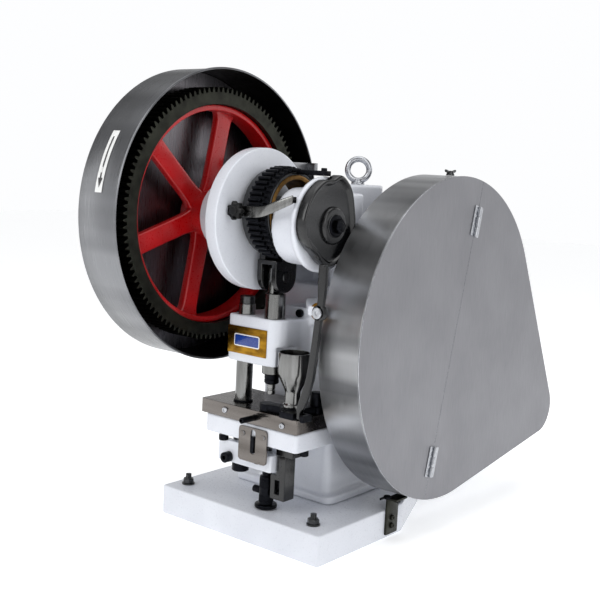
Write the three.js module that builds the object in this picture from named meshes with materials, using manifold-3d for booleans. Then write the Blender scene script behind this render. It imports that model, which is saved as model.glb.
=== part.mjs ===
import * as THREE from 'three';
import { mergeVertices } from 'three/addons/utils/BufferGeometryUtils.js';
import Module from 'manifold-3d';

const wasm = await Module();
wasm.setup();

// Single-punch tablet press. Millimetres, X to the right, Y to the back, Z up,
// origin in the middle of the base's underside.

// Clearances
const seat = 0.3; // between two pieces that are bolted or pressed together
const run = 0.2; // radial, round a shaft or rod that moves
const slack = 0.6; // between sheet metal panels

// Base and column
const baseHalfWidth = 148.5;
const baseFront = -148.5;
const baseShoulder = 51.5;
const baseBack = 186;
const baseBackHalf = 91.6;
const baseHeight = 43.4;
const columnLeft = -60;
const columnRight = 72.8;
const columnFront = -35.2;
const columnBack = 70;
const headRise = 53.1; // top of the column above the main shaft
const plinthHeight = 12;

// Shafts
const shaftY = -112.9;
const shaftZ = 449.9;
const shaftRadius = 16;
const headTop = shaftZ + headRise;
const eccentricity = 11;
const counterY = 96.8;
const counterZ = 288.4;
const counterRadius = 12.5;
const motorY = 397.2;
const motorZ = 140.6;
const motorRadius = 62;

// Gears
const gearModule = 3;
const gearTeeth = 118;
const gearFace = -87.6;
const gearWidth = 40;
const gearBoreRadius = 155.7;
const spokeCount = 6;
const spokeTurn = -12; // degrees, first spoke from upright
const spokeWidth = 28;
const centreDistance = Math.hypot(counterY - shaftY, counterZ - shaftZ);
const pinionTeeth = Math.floor((2 * centreDistance) / gearModule) - gearTeeth;
const dedendum = 1.25; // tooth depth below the pitch circle, in modules

// Guards
const gearGuardRadius = 205.3;
const gearGuardLeft = -149;
const gearGuardRight = -73.5;
const pinionGuardGap = 4.5; // tooth tips to sheet
const pinionGuardRadius = ((pinionTeeth + 2) * gearModule) / 2 + pinionGuardGap;
const beltGuardRadius = 233.9;
const beltGuardNose = 41.5;
const beltGuardLeft = 122.5;
const beltGuardRight = 189.1;
const sheet = 1.5;
const seamLean = 0.2335; // sideways run of the cover's seam per unit of height

// Ram line and table
const ramX = 24.9;
const ramRadius = 14.2;
const ramTravel = 2 * eccentricity;
const plateLeft = -77.6;
const plateRight = 99.1;
const plateFront = -145;
const plateTop = 189.3;
const plateThickness = 20.3;
const bedLeft = -69.8;
const bedRight = 98.9;
const bedFront = -144;
const bedThickness = 26.2;
const bedBottom = plateTop - plateThickness - seat - bedThickness;
const punchRadius = 5.7;
const punchTip = 208.2;
const dieRadius = 14;
const guideBottom = 249;
const guideTop = 315.5;
const guideFront = -131;
const pinZ = 373.6;
const pinRadius = 7;

// Lift rod
const liftX = -26.5;
const liftRadius = 11.9;
const forkTop = bedBottom - 15.5;
const forkBottom = forkTop - 24;

// Feeder
const hopperX = 72;
const hopperY = -123;
const hopperRim = plateTop + 86.2;
const hopperRadius = 22;
const pivotX = 88;
const pivotY = -90;
const feedTurn = 17; // degrees from rest to the die
const leverX = 126.5;
const leverZ = 338;
const leverY = -143;
const leverThick = 8;

const V = (x, y, z) => new THREE.Vector3(x, y, z);

function toSolid(geometry) {
  const bare = geometry.clone();
  bare.deleteAttribute('normal');
  bare.deleteAttribute('uv');
  const merged = mergeVertices(bare, 1e-4);
  return new wasm.Manifold(
    new wasm.Mesh({
      numProp: 3,
      vertProperties: new Float32Array(merged.attributes.position.array),
      triVerts: new Uint32Array(merged.index.array),
    }),
  );
}

function toGeometry(solid) {
  const mesh = solid.getMesh();
  const geometry = new THREE.BufferGeometry();
  geometry.setAttribute('position', new THREE.BufferAttribute(new Float32Array(mesh.vertProperties), 3));
  geometry.setIndex(new THREE.BufferAttribute(new Uint32Array(mesh.triVerts), 1));
  geometry.computeVertexNormals();
  return geometry;
}

const join = (...pieces) => toGeometry(pieces.map(toSolid).reduce((all, piece) => all.add(piece)));

const cut = (body, ...tools) => {
  const start = toSolid(body);
  return toGeometry(tools.map(toSolid).reduce((left, tool) => left.subtract(tool), start));
};

const common = (one, other) => toGeometry(toSolid(one).intersect(toSolid(other)));

function block(x0, x1, y0, y1, z0, z1) {
  const geometry = new THREE.BoxGeometry(x1 - x0, y1 - y0, z1 - z0);
  geometry.translate((x0 + x1) / 2, (y0 + y1) / 2, (z0 + z1) / 2);
  return geometry;
}

function rodX(radius, x0, x1, y, z, sides = 40) {
  const geometry = new THREE.CylinderGeometry(radius, radius, x1 - x0, sides);
  geometry.rotateZ(Math.PI / 2);
  geometry.translate((x0 + x1) / 2, y, z);
  return geometry;
}

function rodY(radius, x, y0, y1, z, sides = 16) {
  const geometry = new THREE.CylinderGeometry(radius, radius, y1 - y0, sides);
  geometry.translate(x, (y0 + y1) / 2, z);
  return geometry;
}

function rodZ(radius, x, y, z0, z1, sides = 24) {
  const geometry = new THREE.CylinderGeometry(radius, radius, z1 - z0, sides);
  geometry.rotateX(Math.PI / 2);
  geometry.translate(x, y, (z0 + z1) / 2);
  return geometry;
}

function extrude(points, depth) {
  const shape = new THREE.Shape(points.map(([u, v]) => new THREE.Vector2(u, v)));
  return new THREE.ExtrudeGeometry(shape, { depth, bevelEnabled: false, steps: 1 });
}

// Outline in plan, raised from z0 to z1
function slabZ(points, z0, z1) {
  const geometry = extrude(points, z1 - z0);
  geometry.translate(0, 0, z0);
  return geometry;
}

// Outline in (y, z), drawn out from x0 to x1
function slabX(points, x0, x1) {
  const geometry = extrude(points, x1 - x0);
  geometry.applyMatrix4(new THREE.Matrix4().makeBasis(V(0, 1, 0), V(0, 0, 1), V(1, 0, 0)));
  geometry.translate(x0, 0, 0);
  return geometry;
}

// Outline in (x, z), drawn out from y0 to y1
function slabY(points, y0, y1) {
  const geometry = extrude(points, y1 - y0);
  geometry.applyMatrix4(new THREE.Matrix4().makeBasis(V(1, 0, 0), V(0, 0, 1), V(0, -1, 0)));
  geometry.translate(0, y1, 0);
  return geometry;
}

// Piece turned about an upright axis: profile is a list of [radius, height] pairs from axis to axis
function turnedZ(profile, x, y, sides = 32) {
  const geometry = new THREE.LatheGeometry(profile.map(([r, h]) => new THREE.Vector2(r, h)), sides);
  geometry.rotateX(Math.PI / 2);
  geometry.translate(x, y, 0);
  return geometry;
}

function rounded(x0, x1, y0, y1, radius, steps = 4) {
  const corners = [
    [x1 - radius, y0 + radius, -90],
    [x1 - radius, y1 - radius, 0],
    [x0 + radius, y1 - radius, 90],
    [x0 + radius, y0 + radius, 180],
  ];
  const points = [];
  for (const [cx, cy, start] of corners) {
    for (let i = 0; i <= steps; i += 1) {
      const angle = ((start + (90 * i) / steps) * Math.PI) / 180;
      points.push([cx + radius * Math.cos(angle), cy + radius * Math.sin(angle)]);
    }
  }
  return points;
}

// Outline of a band stretched round two circles, first circle the larger
function stretched(y0, z0, r0, y1, z1, r1, steps) {
  const reach = Math.hypot(y1 - y0, z1 - z0);
  const heading = Math.atan2(z1 - z0, y1 - y0);
  const open = Math.acos((r0 - r1) / reach);
  const points = [];
  for (let i = 0; i <= steps; i += 1) {
    const angle = heading + open + ((2 * Math.PI - 2 * open) * i) / steps;
    points.push([y0 + r0 * Math.cos(angle), z0 + r0 * Math.sin(angle)]);
  }
  const few = Math.max(6, Math.round(steps / 4));
  for (let i = 0; i <= few; i += 1) {
    const angle = heading - open + (2 * open * i) / few;
    points.push([y1 + r1 * Math.cos(angle), z1 + r1 * Math.sin(angle)]);
  }
  return points;
}

// Toothed outline about (0, 0); the first tooth stands at the angle `phase`
function toothed(teeth, tip, root, tipShare, rootShare, phase) {
  const pitch = (2 * Math.PI) / teeth;
  const points = [];
  for (let i = 0; i < teeth; i += 1) {
    const middle = phase + i * pitch;
    const corners = [
      [root, -rootShare / 2],
      [tip, -tipShare / 2],
      [tip, tipShare / 2],
      [root, rootShare / 2],
    ];
    for (const [radius, share] of corners) {
      const angle = middle + share * pitch;
      points.push([radius * Math.cos(angle), radius * Math.sin(angle)]);
    }
  }
  return points;
}

const about = (points, y, z) => points.map(([u, v]) => [u + y, v + z]);

function smooth(points, count) {
  const curve = new THREE.CatmullRomCurve3(points.map(([u, v]) => V(u, v, 0)), true);
  return curve.getSpacedPoints(count).slice(0, count).map((p) => [p.x, p.y]);
}

const group = new THREE.Group();
group.name = 'tablet_press';

const paints = {
  white: [0xe9ecef, 0.35, 0.1],
  sheet: [0x9fa3a6, 0.3, 0.9],
  steel: [0xb9bbbd, 0.25, 1],
  darkSteel: [0x3b3d3c, 0.5, 0.8],
  black: [0x17181b, 0.4, 0.3],
  red: [0xa00d0d, 0.4, 0.1],
  bronze: [0x7d5a2a, 0.4, 0.9],
  gold: [0xb08a35, 0.35, 0.8],
  label: [0xf2f2f0, 0.5, 0],
  rubber: [0x1c1c1c, 0.8, 0],
  motor: [0x5c666c, 0.5, 0.3],
};

function add(name, geometry, paint) {
  const [color, roughness, metalness] = paints[paint];
  const mesh = new THREE.Mesh(geometry, new THREE.MeshStandardMaterial({ color, roughness, metalness }));
  mesh.name = name;
  group.add(mesh);
}

// ---- base and frame ----
const basePlan = [
  [-baseHalfWidth, baseFront],
  [baseHalfWidth, baseFront],
  [baseHalfWidth, baseShoulder],
  [baseBackHalf, baseBack],
  [-baseBackHalf, baseBack],
  [-baseHalfWidth, baseShoulder],
];
add('base_plate', slabZ(basePlan, 0, baseHeight), 'white');

const plinthTop = baseHeight + plinthHeight;
const bedTop = plateTop - plateThickness - seat;
const leftArm = { x0: -48, radius: 66 };
const discBack = -21.1;
const discFront = -1.3;
const discRadius = 97.8;
const bossRadius = 47;
const bossEnd = -81.1;
const nose = { x0: 54.6, x1: 104.5, z: shaftZ - 4.3, radius: 51.7, flange: 63.6, flangeAt: 95 };
const bearingBore = shaftRadius + run;
const counterBossRadius = 30;
const counterBoss = { x0: -72, x1: 116 };
const forkHole = liftRadius + run;

const guidePlan = [
  [-46, columnFront + 5],
  [-46, -127],
  [-42, guideFront],
  [30, guideFront],
  [38, -129],
  [45, -124],
  [50, -116],
  [52, -104],
  [55, -90],
  [62, -78],
  [columnRight, -72],
  [columnRight, columnFront + 5],
];
const fulcrumPlan = [
  [55, -60],
  [columnRight - 1, -60],
  [112, -126],
  [116, leverY + leverThick / 2 + 5],
  [leverX + 7, leverY + leverThick / 2 + 5],
  [leverX + 7, leverY + leverThick / 2 + seat],
  [103, leverY + leverThick / 2 + seat],
  [56, -84],
];

// Room in the guide block for the hopper as the shoe swings
const hopperRelief = [];
const reliefSteps = 4;
for (let i = 0; i <= reliefSteps; i += 1) {
  const angle = (-feedTurn * i * Math.PI) / (180 * reliefSteps);
  const [u, v] = [hopperX - pivotX, hopperY - pivotY];
  const x = pivotX + u * Math.cos(angle) - v * Math.sin(angle);
  const y = pivotY + u * Math.sin(angle) + v * Math.cos(angle);
  hopperRelief.push(rodZ(hopperRadius + 1, x, y, guideBottom - 5, hopperRim + 1.5, 28));
}

const columnBody = join(
  slabZ(rounded(-100, 84, columnFront - 8, 98, 12), baseHeight + seat, plinthTop),
  slabZ(rounded(columnLeft, columnRight, columnFront, columnBack, 12), plinthTop - 1, headTop),
  slabZ(rounded(bedLeft, bedRight, bedFront, columnFront + 20, 5), bedBottom, bedTop),
  slabZ(guidePlan, guideBottom, guideTop),
  block(14, columnRight, -78, columnFront + 5, guideTop - 1, 330),
  slabZ(fulcrumPlan, leverZ - 7, leverZ + 7),
  block(58, columnRight - 1, -80, columnFront + 5, leverZ - 30, leverZ + 7),
  rodX(leftArm.radius, leftArm.x0, discBack - seat, shaftY, shaftZ, 28),
  block(leftArm.x0, discBack - seat, shaftY, columnFront + 20, shaftZ - 60, headTop - 6),
  rodX(nose.radius, nose.x0, nose.x1 - 2, shaftY, nose.z, 36),
  rodX(nose.flange, nose.flangeAt, nose.x1, shaftY, shaftZ, 36),
  block(62, nose.flangeAt + 1, shaftY, columnFront + 20, nose.z - nose.radius + 1, nose.z + nose.radius - 6),
  rodX(counterBossRadius, counterBoss.x0, counterBoss.x1, counterY, counterZ, 28),
  block(-52, 66, columnBack - 5, counterY, counterZ - 26, counterZ + 26),
);
const frameCasting = cut(
  columnBody,
  block(-8, 56, columnFront - 30, 12, 357, shaftZ - 12),
  rodX(bossRadius + seat, leftArm.x0 - 5, discBack + 5, shaftY, shaftZ, 28),
  rodX(discRadius + seat, discBack - seat, discFront + seat, shaftY, shaftZ, 48),
  rodX(bearingBore, nose.x0 - 5, nose.x1 + 5, shaftY, shaftZ, 28),
  rodX(counterRadius + run, counterBoss.x0 - 5, counterBoss.x1 + 5, counterY, counterZ, 24),
  rodZ(ramRadius + run, ramX, shaftY, guideBottom - 5, guideTop + 5),
  rodZ(forkHole, liftX, shaftY, bedBottom - 5, guideTop + 5),
  rodZ(dieRadius - 2, ramX, shaftY, bedBottom - 5, bedTop + 5),
  rodY(4.8, leverX, leverY - 10, leverY + 20, leverZ, 16),
  ...hopperRelief,
);
add('frame_casting', frameCasting, 'white');

const leftHousing = cut(
  join(
    rodX(bossRadius, bossEnd, discBack + 1, shaftY, shaftZ, 28),
    rodX(discRadius, discBack, discFront, shaftY, shaftZ, 48),
  ),
  rodX(bearingBore, bossEnd - 5, discFront + 5, shaftY, shaftZ, 28),
);
add('left_bearing_housing', leftHousing, 'white');

// ---- table ----
const lockZ = plateTop - 9.9;
const lockRadius = 4;
const plateScrews = { left: [-31.5, plateTop - 9.8], right: [74, plateTop - 11.8] };
const plateScrewDepth = 6;
const screwHole = ([x, z]) =>
  rodY(3 + seat, x, plateFront - 5, plateFront + plateScrewDepth + seat, z, 16);
const diePlate = cut(
  slabZ(
    rounded(plateLeft, plateRight, plateFront, columnFront - seat - 8.2, 2, 2),
    plateTop - plateThickness,
    plateTop,
  ),
  rodZ(dieRadius + seat, ramX, shaftY, bedTop - 5, plateTop + 5),
  rodZ(forkHole, liftX, shaftY, bedTop - 5, plateTop + 5),
  rodY(lockRadius + run, ramX, plateFront - 5, shaftY, lockZ, 16),
  screwHole(plateScrews.left),
  screwHole(plateScrews.right),
);
add('die_plate', diePlate, 'steel');

add(
  'die',
  cut(
    rodZ(dieRadius, ramX, shaftY, bedTop + seat, plateTop),
    rodZ(punchRadius + run + 0.1, ramX, shaftY, bedTop - 5, plateTop + 5),
  ),
  'darkSteel',
);
add('die_lock_screw', rodY(lockRadius, ramX, -173.3, shaftY - dieRadius - seat, lockZ, 16), 'black');
for (const side of ['left', 'right']) {
  const [x, z] = plateScrews[side];
  add(`plate_screw_${side}`, rodY(3, x, plateFront - 2.2, plateFront + plateScrewDepth, z, 16), 'steel');
}

// ---- base bolts ----
const boltSpots = {
  front_left: [-125, -118],
  front_right: [115, -118],
  back_left: [-100, 112],
  back_right: [100, 112],
};
for (const [spot, [x, y]] of Object.entries(boltSpots)) {
  const bottom = baseHeight + seat;
  const profile = [
    [0, bottom],
    [9.5, bottom],
    [9.5, bottom + 2.2],
    [0, bottom + 2.2],
  ];
  const washer = turnedZ(profile, x, y, 24);
  const nut = rodZ(8, x, y, bottom + 2, bottom + 9.5, 6);
  const stud = rodZ(4.2, x, y, bottom + 9, bottom + 15.5, 16);
  add(`foot_bolt_${spot}`, join(washer, nut, stud), 'darkSteel');
}

add('nameplate', block(-43.5, 28.5, guideFront - seat - 0.8, guideFront - seat, 261, 299.5), 'gold');

const eyeX = 45;
const eyeY = 37;
const ring = new THREE.TorusGeometry(15.6, 4.4, 8, 22);
ring.rotateX(Math.PI / 2);
ring.rotateZ((38.8 * Math.PI) / 180);
ring.translate(eyeX, eyeY, headTop + 21);
add('eye_bolt', join(ring, rodZ(9, eyeX, eyeY, headTop + seat, headTop + 6, 24)), 'steel');

// ---- gear guard ----
const pan = (grow, x0, x1) =>
  join(
    rodX(gearGuardRadius + grow, x0, x1, shaftY, shaftZ, 48),
    rodX(pinionGuardRadius + grow, x0, x1, counterY, counterZ, 24),
  );
const gearGuard = join(
  cut(pan(0, gearGuardLeft, gearGuardRight), pan(-sheet, gearGuardLeft + sheet, gearGuardRight + 5)),
  cut(pan(1.6, gearGuardRight - 4, gearGuardRight), pan(-sheet, gearGuardRight - 6, gearGuardRight + 5)),
  block(gearGuardRight - 3, -57, 74, 76.5, shaftZ + 64.1, shaftZ + 81.1),
);
add('gear_guard', gearGuard, 'sheet');

const labelInner = gearGuardRadius + seat;
const labelOuter = labelInner + 0.6;
const labelFrom = 148; // degrees round the guard
const labelStep = 3;
const labelOutline = [];
for (let i = 0; i <= 8; i += 1) {
  const angle = ((labelFrom + labelStep * i) * Math.PI) / 180;
  labelOutline.push([shaftY + labelOuter * Math.cos(angle), shaftZ + labelOuter * Math.sin(angle)]);
}
for (let i = 8; i >= 0; i -= 1) {
  const angle = ((labelFrom + labelStep * i) * Math.PI) / 180;
  labelOutline.push([shaftY + labelInner * Math.cos(angle), shaftZ + labelInner * Math.sin(angle)]);
}
add('guard_label', slabX(labelOutline, -117, -104), 'label');

// ---- belt guard ----
const hood = (grow, x0, x1) =>
  slabX(
    stretched(counterY, counterZ, beltGuardRadius + grow, motorY, motorZ, beltGuardNose + grow, 44),
    x0,
    x1,
  );
const lidInner = beltGuardRight - sheet;
const beltHousing = cut(
  hood(0, beltGuardLeft, lidInner - seat),
  hood(-sheet, beltGuardLeft + sheet, lidInner + 5),
  rodX(24, beltGuardLeft - 5, beltGuardLeft + 5, counterY, counterZ, 24),
  rodX(18, beltGuardLeft - 5, beltGuardLeft + 5, motorY, motorZ, 24),
);
add('belt_guard_housing', beltHousing, 'sheet');

// Points on the seam, and a plate reaching far to one side of it
const seamY = (z) => counterY + (z - counterZ) * seamLean;
const beside = (side, gap) => {
  const far = side * 600;
  const low = counterZ - 300;
  const high = counterZ + 300;
  const points = [
    [seamY(low) + side * gap, low],
    [seamY(high) + side * gap, high],
    [seamY(high) + far, high],
    [seamY(low) + far, low],
  ];
  return slabX(side > 0 ? points.reverse() : points, lidInner - 5, beltGuardRight + 5);
};
const lid = hood(0, lidInner, beltGuardRight);
add('belt_guard_cover', common(lid, beside(-1, slack / 2)), 'sheet');

const hingeLength = 44;
const hingeLeaf = 11;
const barrelRadius = 2.6;
const seamAngle = Math.atan(seamLean);
const hingeAt = { upper: 458, lower: 114 };
const barrelX = beltGuardRight + 0.2 + barrelRadius;

// A piece built upright at y = 0, z = 0 and then laid along the seam at height z
function alongSeam(geometry, z) {
  geometry.rotateX(-seamAngle);
  geometry.translate(0, seamY(z), z);
  return geometry;
}
const barrel = (z0, z1) => {
  const geometry = new THREE.CylinderGeometry(barrelRadius, barrelRadius, z1 - z0, 16);
  geometry.rotateX(Math.PI / 2);
  geometry.translate(barrelX, 0, (z0 + z1) / 2);
  return geometry;
};
const leafX0 = beltGuardRight + 0.2;
const leafX1 = leafX0 + 1.2;
const third = hingeLength / 6;
const fixedHinge = (z) =>
  join(
    alongSeam(block(leafX0, leafX1, -hingeLeaf, -barrelRadius - 0.4, -hingeLength / 2, hingeLength / 2), z),
    alongSeam(block(leafX0, leafX1, -hingeLeaf, 0, -third + seat, third - seat), z),
    alongSeam(barrel(-third + seat, third - seat), z),
  );
const movingHinge = (z) => [
  alongSeam(block(leafX0 - 0.4, leafX1, barrelRadius + 0.4, hingeLeaf, -hingeLength / 2, hingeLength / 2), z),
  alongSeam(block(leafX0, leafX1, 0, hingeLeaf - 1, third, hingeLength / 2), z),
  alongSeam(block(leafX0, leafX1, 0, hingeLeaf - 1, -hingeLength / 2, -third), z),
  alongSeam(barrel(third, hingeLength / 2), z),
  alongSeam(barrel(-hingeLength / 2, -third), z),
];
const door = join(
  common(lid, beside(1, slack / 2)),
  ...movingHinge(hingeAt.upper),
  ...movingHinge(hingeAt.lower),
);
add('belt_guard_door', door, 'sheet');
add('hinge_upper', fixedHinge(hingeAt.upper), 'steel');
add('hinge_lower', fixedHinge(hingeAt.lower), 'steel');

const strapX = baseHalfWidth + seat;
const strapTop = 62.2;
const guardStrap = join(
  block(strapX, strapX + 3, 6, 35, 6, strapTop),
  block(strapX, strapX + 18, 6, 35, strapTop - 3, strapTop),
  rodX(4, strapX + 2, strapX + 5.5, 20.5, 30, 16),
  rodX(4, strapX + 2, strapX + 5.5, 20.5, 18, 16),
  rodZ(5, strapX + 10, 20.5, strapTop - 7, strapTop - 2, 16),
);
add('guard_strap', guardStrap, 'darkSteel');

const wingY = 110;
const guardTop = counterZ + Math.sqrt(beltGuardRadius ** 2 - (wingY - 6 - counterY) ** 2);
const wingNut = join(
  rodZ(6, 155.8, wingY, guardTop + seat, guardTop + 6, 20),
  block(153.8, 157.8, wingY - 14, wingY + 14, guardTop + 4, guardTop + 9.5),
);
add('guard_wing_nut', wingNut, 'black');

// ---- main shaft ----
const ringLeft = 20;
const ringMiddle = 44;
const ringRight = 53;
const ringRadius = 63.5;
const bushOuter = 52;
const bushInner = 46;
const rodEyeOuter = 56;
const ringZ = shaftZ + eccentricity;
const eccentricRadius = bushInner - ramTravel - 1;
const hubLeft = -134;
const camLeft = nose.x1 + 2.5;
const camRight = camLeft + 10;
const camRim = camRight + 5;
const mainShaft = join(
  rodX(shaftRadius, hubLeft - 8, camRim + 1, shaftY, shaftZ, 28),
  rodX(eccentricRadius, ringLeft - 8, ringRight, shaftY, ringZ, 40),
  rodX(13, camRim + 1 - 0.01, camRim + 3, shaftY, shaftZ, 28),
  rodX(9.5, camRim + 2, camRim + 10, shaftY, shaftZ, 6),
);
add('main_shaft', mainShaft, 'darkSteel');

const meshHeading = Math.atan2(counterZ - shaftZ, counterY - shaftY);
const gearPitch = (gearTeeth * gearModule) / 2;
const gearOutline = toothed(
  gearTeeth,
  gearPitch + gearModule,
  gearPitch - dedendum * gearModule,
  0.2,
  0.54,
  meshHeading,
);
const gearRim = cut(
  slabX(about(gearOutline, shaftY, shaftZ), gearFace - gearWidth, gearFace),
  rodX(gearBoreRadius + seat, gearFace - gearWidth - 5, gearFace + 5, shaftY, shaftZ, 48),
);
add('gear_rim', gearRim, 'darkSteel');

const spiderLeft = gearFace - gearWidth + 1;
const spiderPieces = [
  cut(
    rodX(gearBoreRadius, spiderLeft, gearFace - 8, shaftY, shaftZ, 48),
    rodX(gearBoreRadius - 8, spiderLeft - 5, gearFace, shaftY, shaftZ, 48),
  ),
  rodX(34, hubLeft, -84, shaftY, shaftZ, 28),
];
for (let i = 0; i < spokeCount; i += 1) {
  const angle = ((spokeTurn + (360 / spokeCount) * i) * Math.PI) / 180;
  const spoke = block(-124, -111, -spokeWidth / 2, spokeWidth / 2, 28, gearBoreRadius - 5);
  spoke.rotateX(angle);
  spoke.translate(0, shaftY, shaftZ);
  spiderPieces.push(spoke);
}
const spider = cut(join(...spiderPieces), rodX(shaftRadius + seat, hubLeft - 5, -80, shaftY, shaftZ, 28));
add('gear_spider', spider, 'red');

const camOutline = smooth(
  [
    [-61, -14], [-65, 2], [-62, 18], [-55, 33], [-44, 46], [-26, 58],
    [-8, 60], [8, 66], [22, 60], [34, 47], [41, 27], [46, -4],
    [39, -23], [18, -46], [-6, -54], [-24, -47], [-36, -37], [-50, -27],
  ],
  36,
);
const camShrunk = camOutline.map(([u, v]) => [u * 0.86, v * 0.86]);
const feedCam = cut(
  join(
    slabX(about(camOutline, shaftY, shaftZ), camLeft, camRight),
    cut(
      slabX(about(camOutline, shaftY, shaftZ), camRight - 1, camRim),
      slabX(about(camShrunk, shaftY, shaftZ), camRight - 2, camRim + 5),
    ),
    rodX(24, camRight - 1, camRim - 1, shaftY, shaftZ, 32),
  ),
  rodX(shaftRadius + seat, camLeft - 5, camRim + 0.5, shaftY, shaftZ, 28),
);
add('feed_cam', feedCam, 'black');

// ---- connecting rod and ram ----
add(
  'eccentric_bush',
  cut(
    rodX(bushOuter, ringLeft - 10, ringRight, shaftY, ringZ, 32),
    rodX(bushInner, ringLeft - 20, ringRight + 10, shaftY, ringZ, 32),
  ),
  'bronze',
);

const ringTeeth = 38;
const ringHole = rodX(rodEyeOuter + seat, ringLeft - 10, ringRight + 10, shaftY, ringZ, 32);
const wideOutline = about(toothed(ringTeeth, ringRadius, ringRadius - 3.2, 0.3, 0.6, 0), shaftY, ringZ);
const adjustingRing = cut(
  join(
    slabX(wideOutline, ringLeft, ringMiddle - 1.5),
    rodX(ringRadius - 4, ringMiddle - 2, ringMiddle + 0.5, shaftY, ringZ, 36),
    rodX(ringRadius - 2.6, ringMiddle, ringRight - 0.5, shaftY, ringZ, 36),
  ),
  ringHole,
);
add('adjusting_ring', adjustingRing, 'black');

const clevis = { x0: 7.9, x1: 41.9, half: 21.8, top: 396.5 };
const slot = { x0: 15.9, x1: 33.9 };
const clevisOutline = [];
for (let i = 0; i <= 12; i += 1) {
  const angle = Math.PI + (Math.PI * i) / 12;
  clevisOutline.push([shaftY + clevis.half * Math.cos(angle), pinZ + clevis.half * Math.sin(angle)]);
}
clevisOutline.push([shaftY + clevis.half, clevis.top], [shaftY - clevis.half, clevis.top]);
const connectingRod = cut(
  join(
    slabX(clevisOutline, clevis.x0, clevis.x1),
    block(ringLeft - 11.5, ringLeft - 0.5, shaftY - 19, shaftY + 19, clevis.top - 2, ringZ - 40),
    rodX(rodEyeOuter + 3, ringLeft - 11.5, ringLeft - 0.5, shaftY, ringZ, 32),
    rodX(rodEyeOuter, ringLeft - 2, ringRight - 0.2, shaftY, ringZ, 32),
  ),
  rodX(bushOuter + seat + 0.1, ringLeft - 20, ringRight + 10, shaftY, ringZ, 32),
  block(slot.x0, slot.x1, shaftY - 40, shaftY + 40, pinZ - 40, pinZ + 17),
  rodX(pinRadius + seat, clevis.x0 - 5, clevis.x1 + 5, shaftY, pinZ, 24),
);
add('connecting_rod', connectingRod, 'black');
add('wrist_pin', rodX(pinRadius, clevis.x0 + 0.5, clevis.x1 + 1.5, shaftY, pinZ, 24), 'darkSteel');

const ramBottom = punchTip + 29;
const ramTop = pinZ - clevis.half - 1.5;
const tangTop = pinZ + 12;
const ram = cut(
  join(
    rodZ(ramRadius, ramX, shaftY, ramBottom, ramTop, 28),
    block(ramX - 5, ramX + 5, shaftY - 12, shaftY + 12, ramTop - 2, tangTop),
  ),
  rodX(pinRadius + seat, ramX - 20, ramX + 20, shaftY, pinZ, 24),
);
add('ram', ram, 'steel');
const nutTop = ramBottom - seat;
const nutBottom = nutTop - 14;
const nutProfile = [
  [0, nutBottom],
  [8.5, nutBottom],
  [10.3, nutBottom + 2],
  [10.3, nutTop],
  [0, nutTop],
];
add(
  'punch_nut',
  turnedZ(nutProfile, ramX, shaftY, 28),
  'black',
);
add('upper_punch', rodZ(punchRadius, ramX, shaftY, punchTip, nutBottom - seat, 24), 'steel');

// ---- feeder ----
const leverSides = [
  [402, 123.2, 134], [390, 123.2, 135], [375, 123, 135], [357, 124.5, 133.5], [338, 122, 131],
  [329, 121, 130], [288, 117, 126.5], [248, 111.5, 122], [219, 102, 113.5], [plateTop + 15.7, 97.5, 107.5],
  [plateTop + 11.7, 98.5, 104.5], [plateTop + 2.7, 98.5, 104.5],
];
const leverOutline = [
  ...leverSides.map(([z, left]) => [left, z]),
  ...leverSides.slice().reverse().map(([z, , right]) => [right, z]),
];
const leverY0 = leverY - leverThick / 2;
const leverY1 = leverY + leverThick / 2;
const feedLever = cut(
  join(slabY(leverOutline, leverY0, leverY1), rodY(10, leverX, leverY0, leverY1, leverZ, 24)),
  rodY(4.5 + run + 0.1, leverX, leverY0 - 5, leverY1 + 5, leverZ, 16),
);
add('feed_lever', feedLever, 'black');
add(
  'lever_pin',
  join(
    rodY(4.5, leverX, leverY0 - 1.5, leverY1 + 5, leverZ, 16),
    rodY(7.5, leverX, leverY0 - 4, leverY0 - 0.8, leverZ, 20),
  ),
  'steel',
);

// The shoe's mouth stands clear of the punch at rest and covers the die after feedTurn
const turn = (feedTurn * Math.PI) / 180;
const dieFromPivot = [ramX - pivotX, shaftY - pivotY];
const mouthX = pivotX + dieFromPivot[0] * Math.cos(turn) - dieFromPivot[1] * Math.sin(turn);
const mouthY = pivotY + dieFromPivot[0] * Math.sin(turn) + dieFromPivot[1] * Math.cos(turn);
const shoeZ0 = plateTop + seat;
const shoeZ1 = shoeZ0 + 10;
const link = (x0, y0, x1, y1, half) => {
  const length = Math.hypot(x1 - x0, y1 - y0);
  const nx = (-(y1 - y0) / length) * half;
  const ny = ((x1 - x0) / length) * half;
  const points = [
    [x0 - nx, y0 - ny],
    [x1 - nx, y1 - ny],
    [x1 + nx, y1 + ny],
    [x0 + nx, y0 + ny],
  ];
  return slabZ(points, shoeZ0, shoeZ1);
};
const earX = 101.5;
const feedShoe = cut(
  join(
    rodZ(17, hopperX, hopperY, shoeZ0, shoeZ1, 32),
    rodZ(11, mouthX, mouthY, shoeZ0, shoeZ1, 24),
    rodZ(11, pivotX, pivotY, shoeZ0, shoeZ1, 24),
    link(hopperX, hopperY, mouthX, mouthY, 9),
    link(hopperX, hopperY, pivotX, pivotY, 9),
    block(hopperX, earX + 12, leverY - 7, leverY + 12, shoeZ0, shoeZ1 - 1),
  ),
  rodZ(7, mouthX, mouthY, shoeZ0 - 5, shoeZ1 - 3, 24),
  rodZ(6 + run, pivotX, pivotY, shoeZ0 - 5, shoeZ1 + 5, 24),
  block(earX - 5.6, earX + 5.6, leverY - 10, leverY + 8, shoeZ0 - 5, shoeZ1 + 5),
);
add('feed_shoe', feedShoe, 'black');

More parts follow.
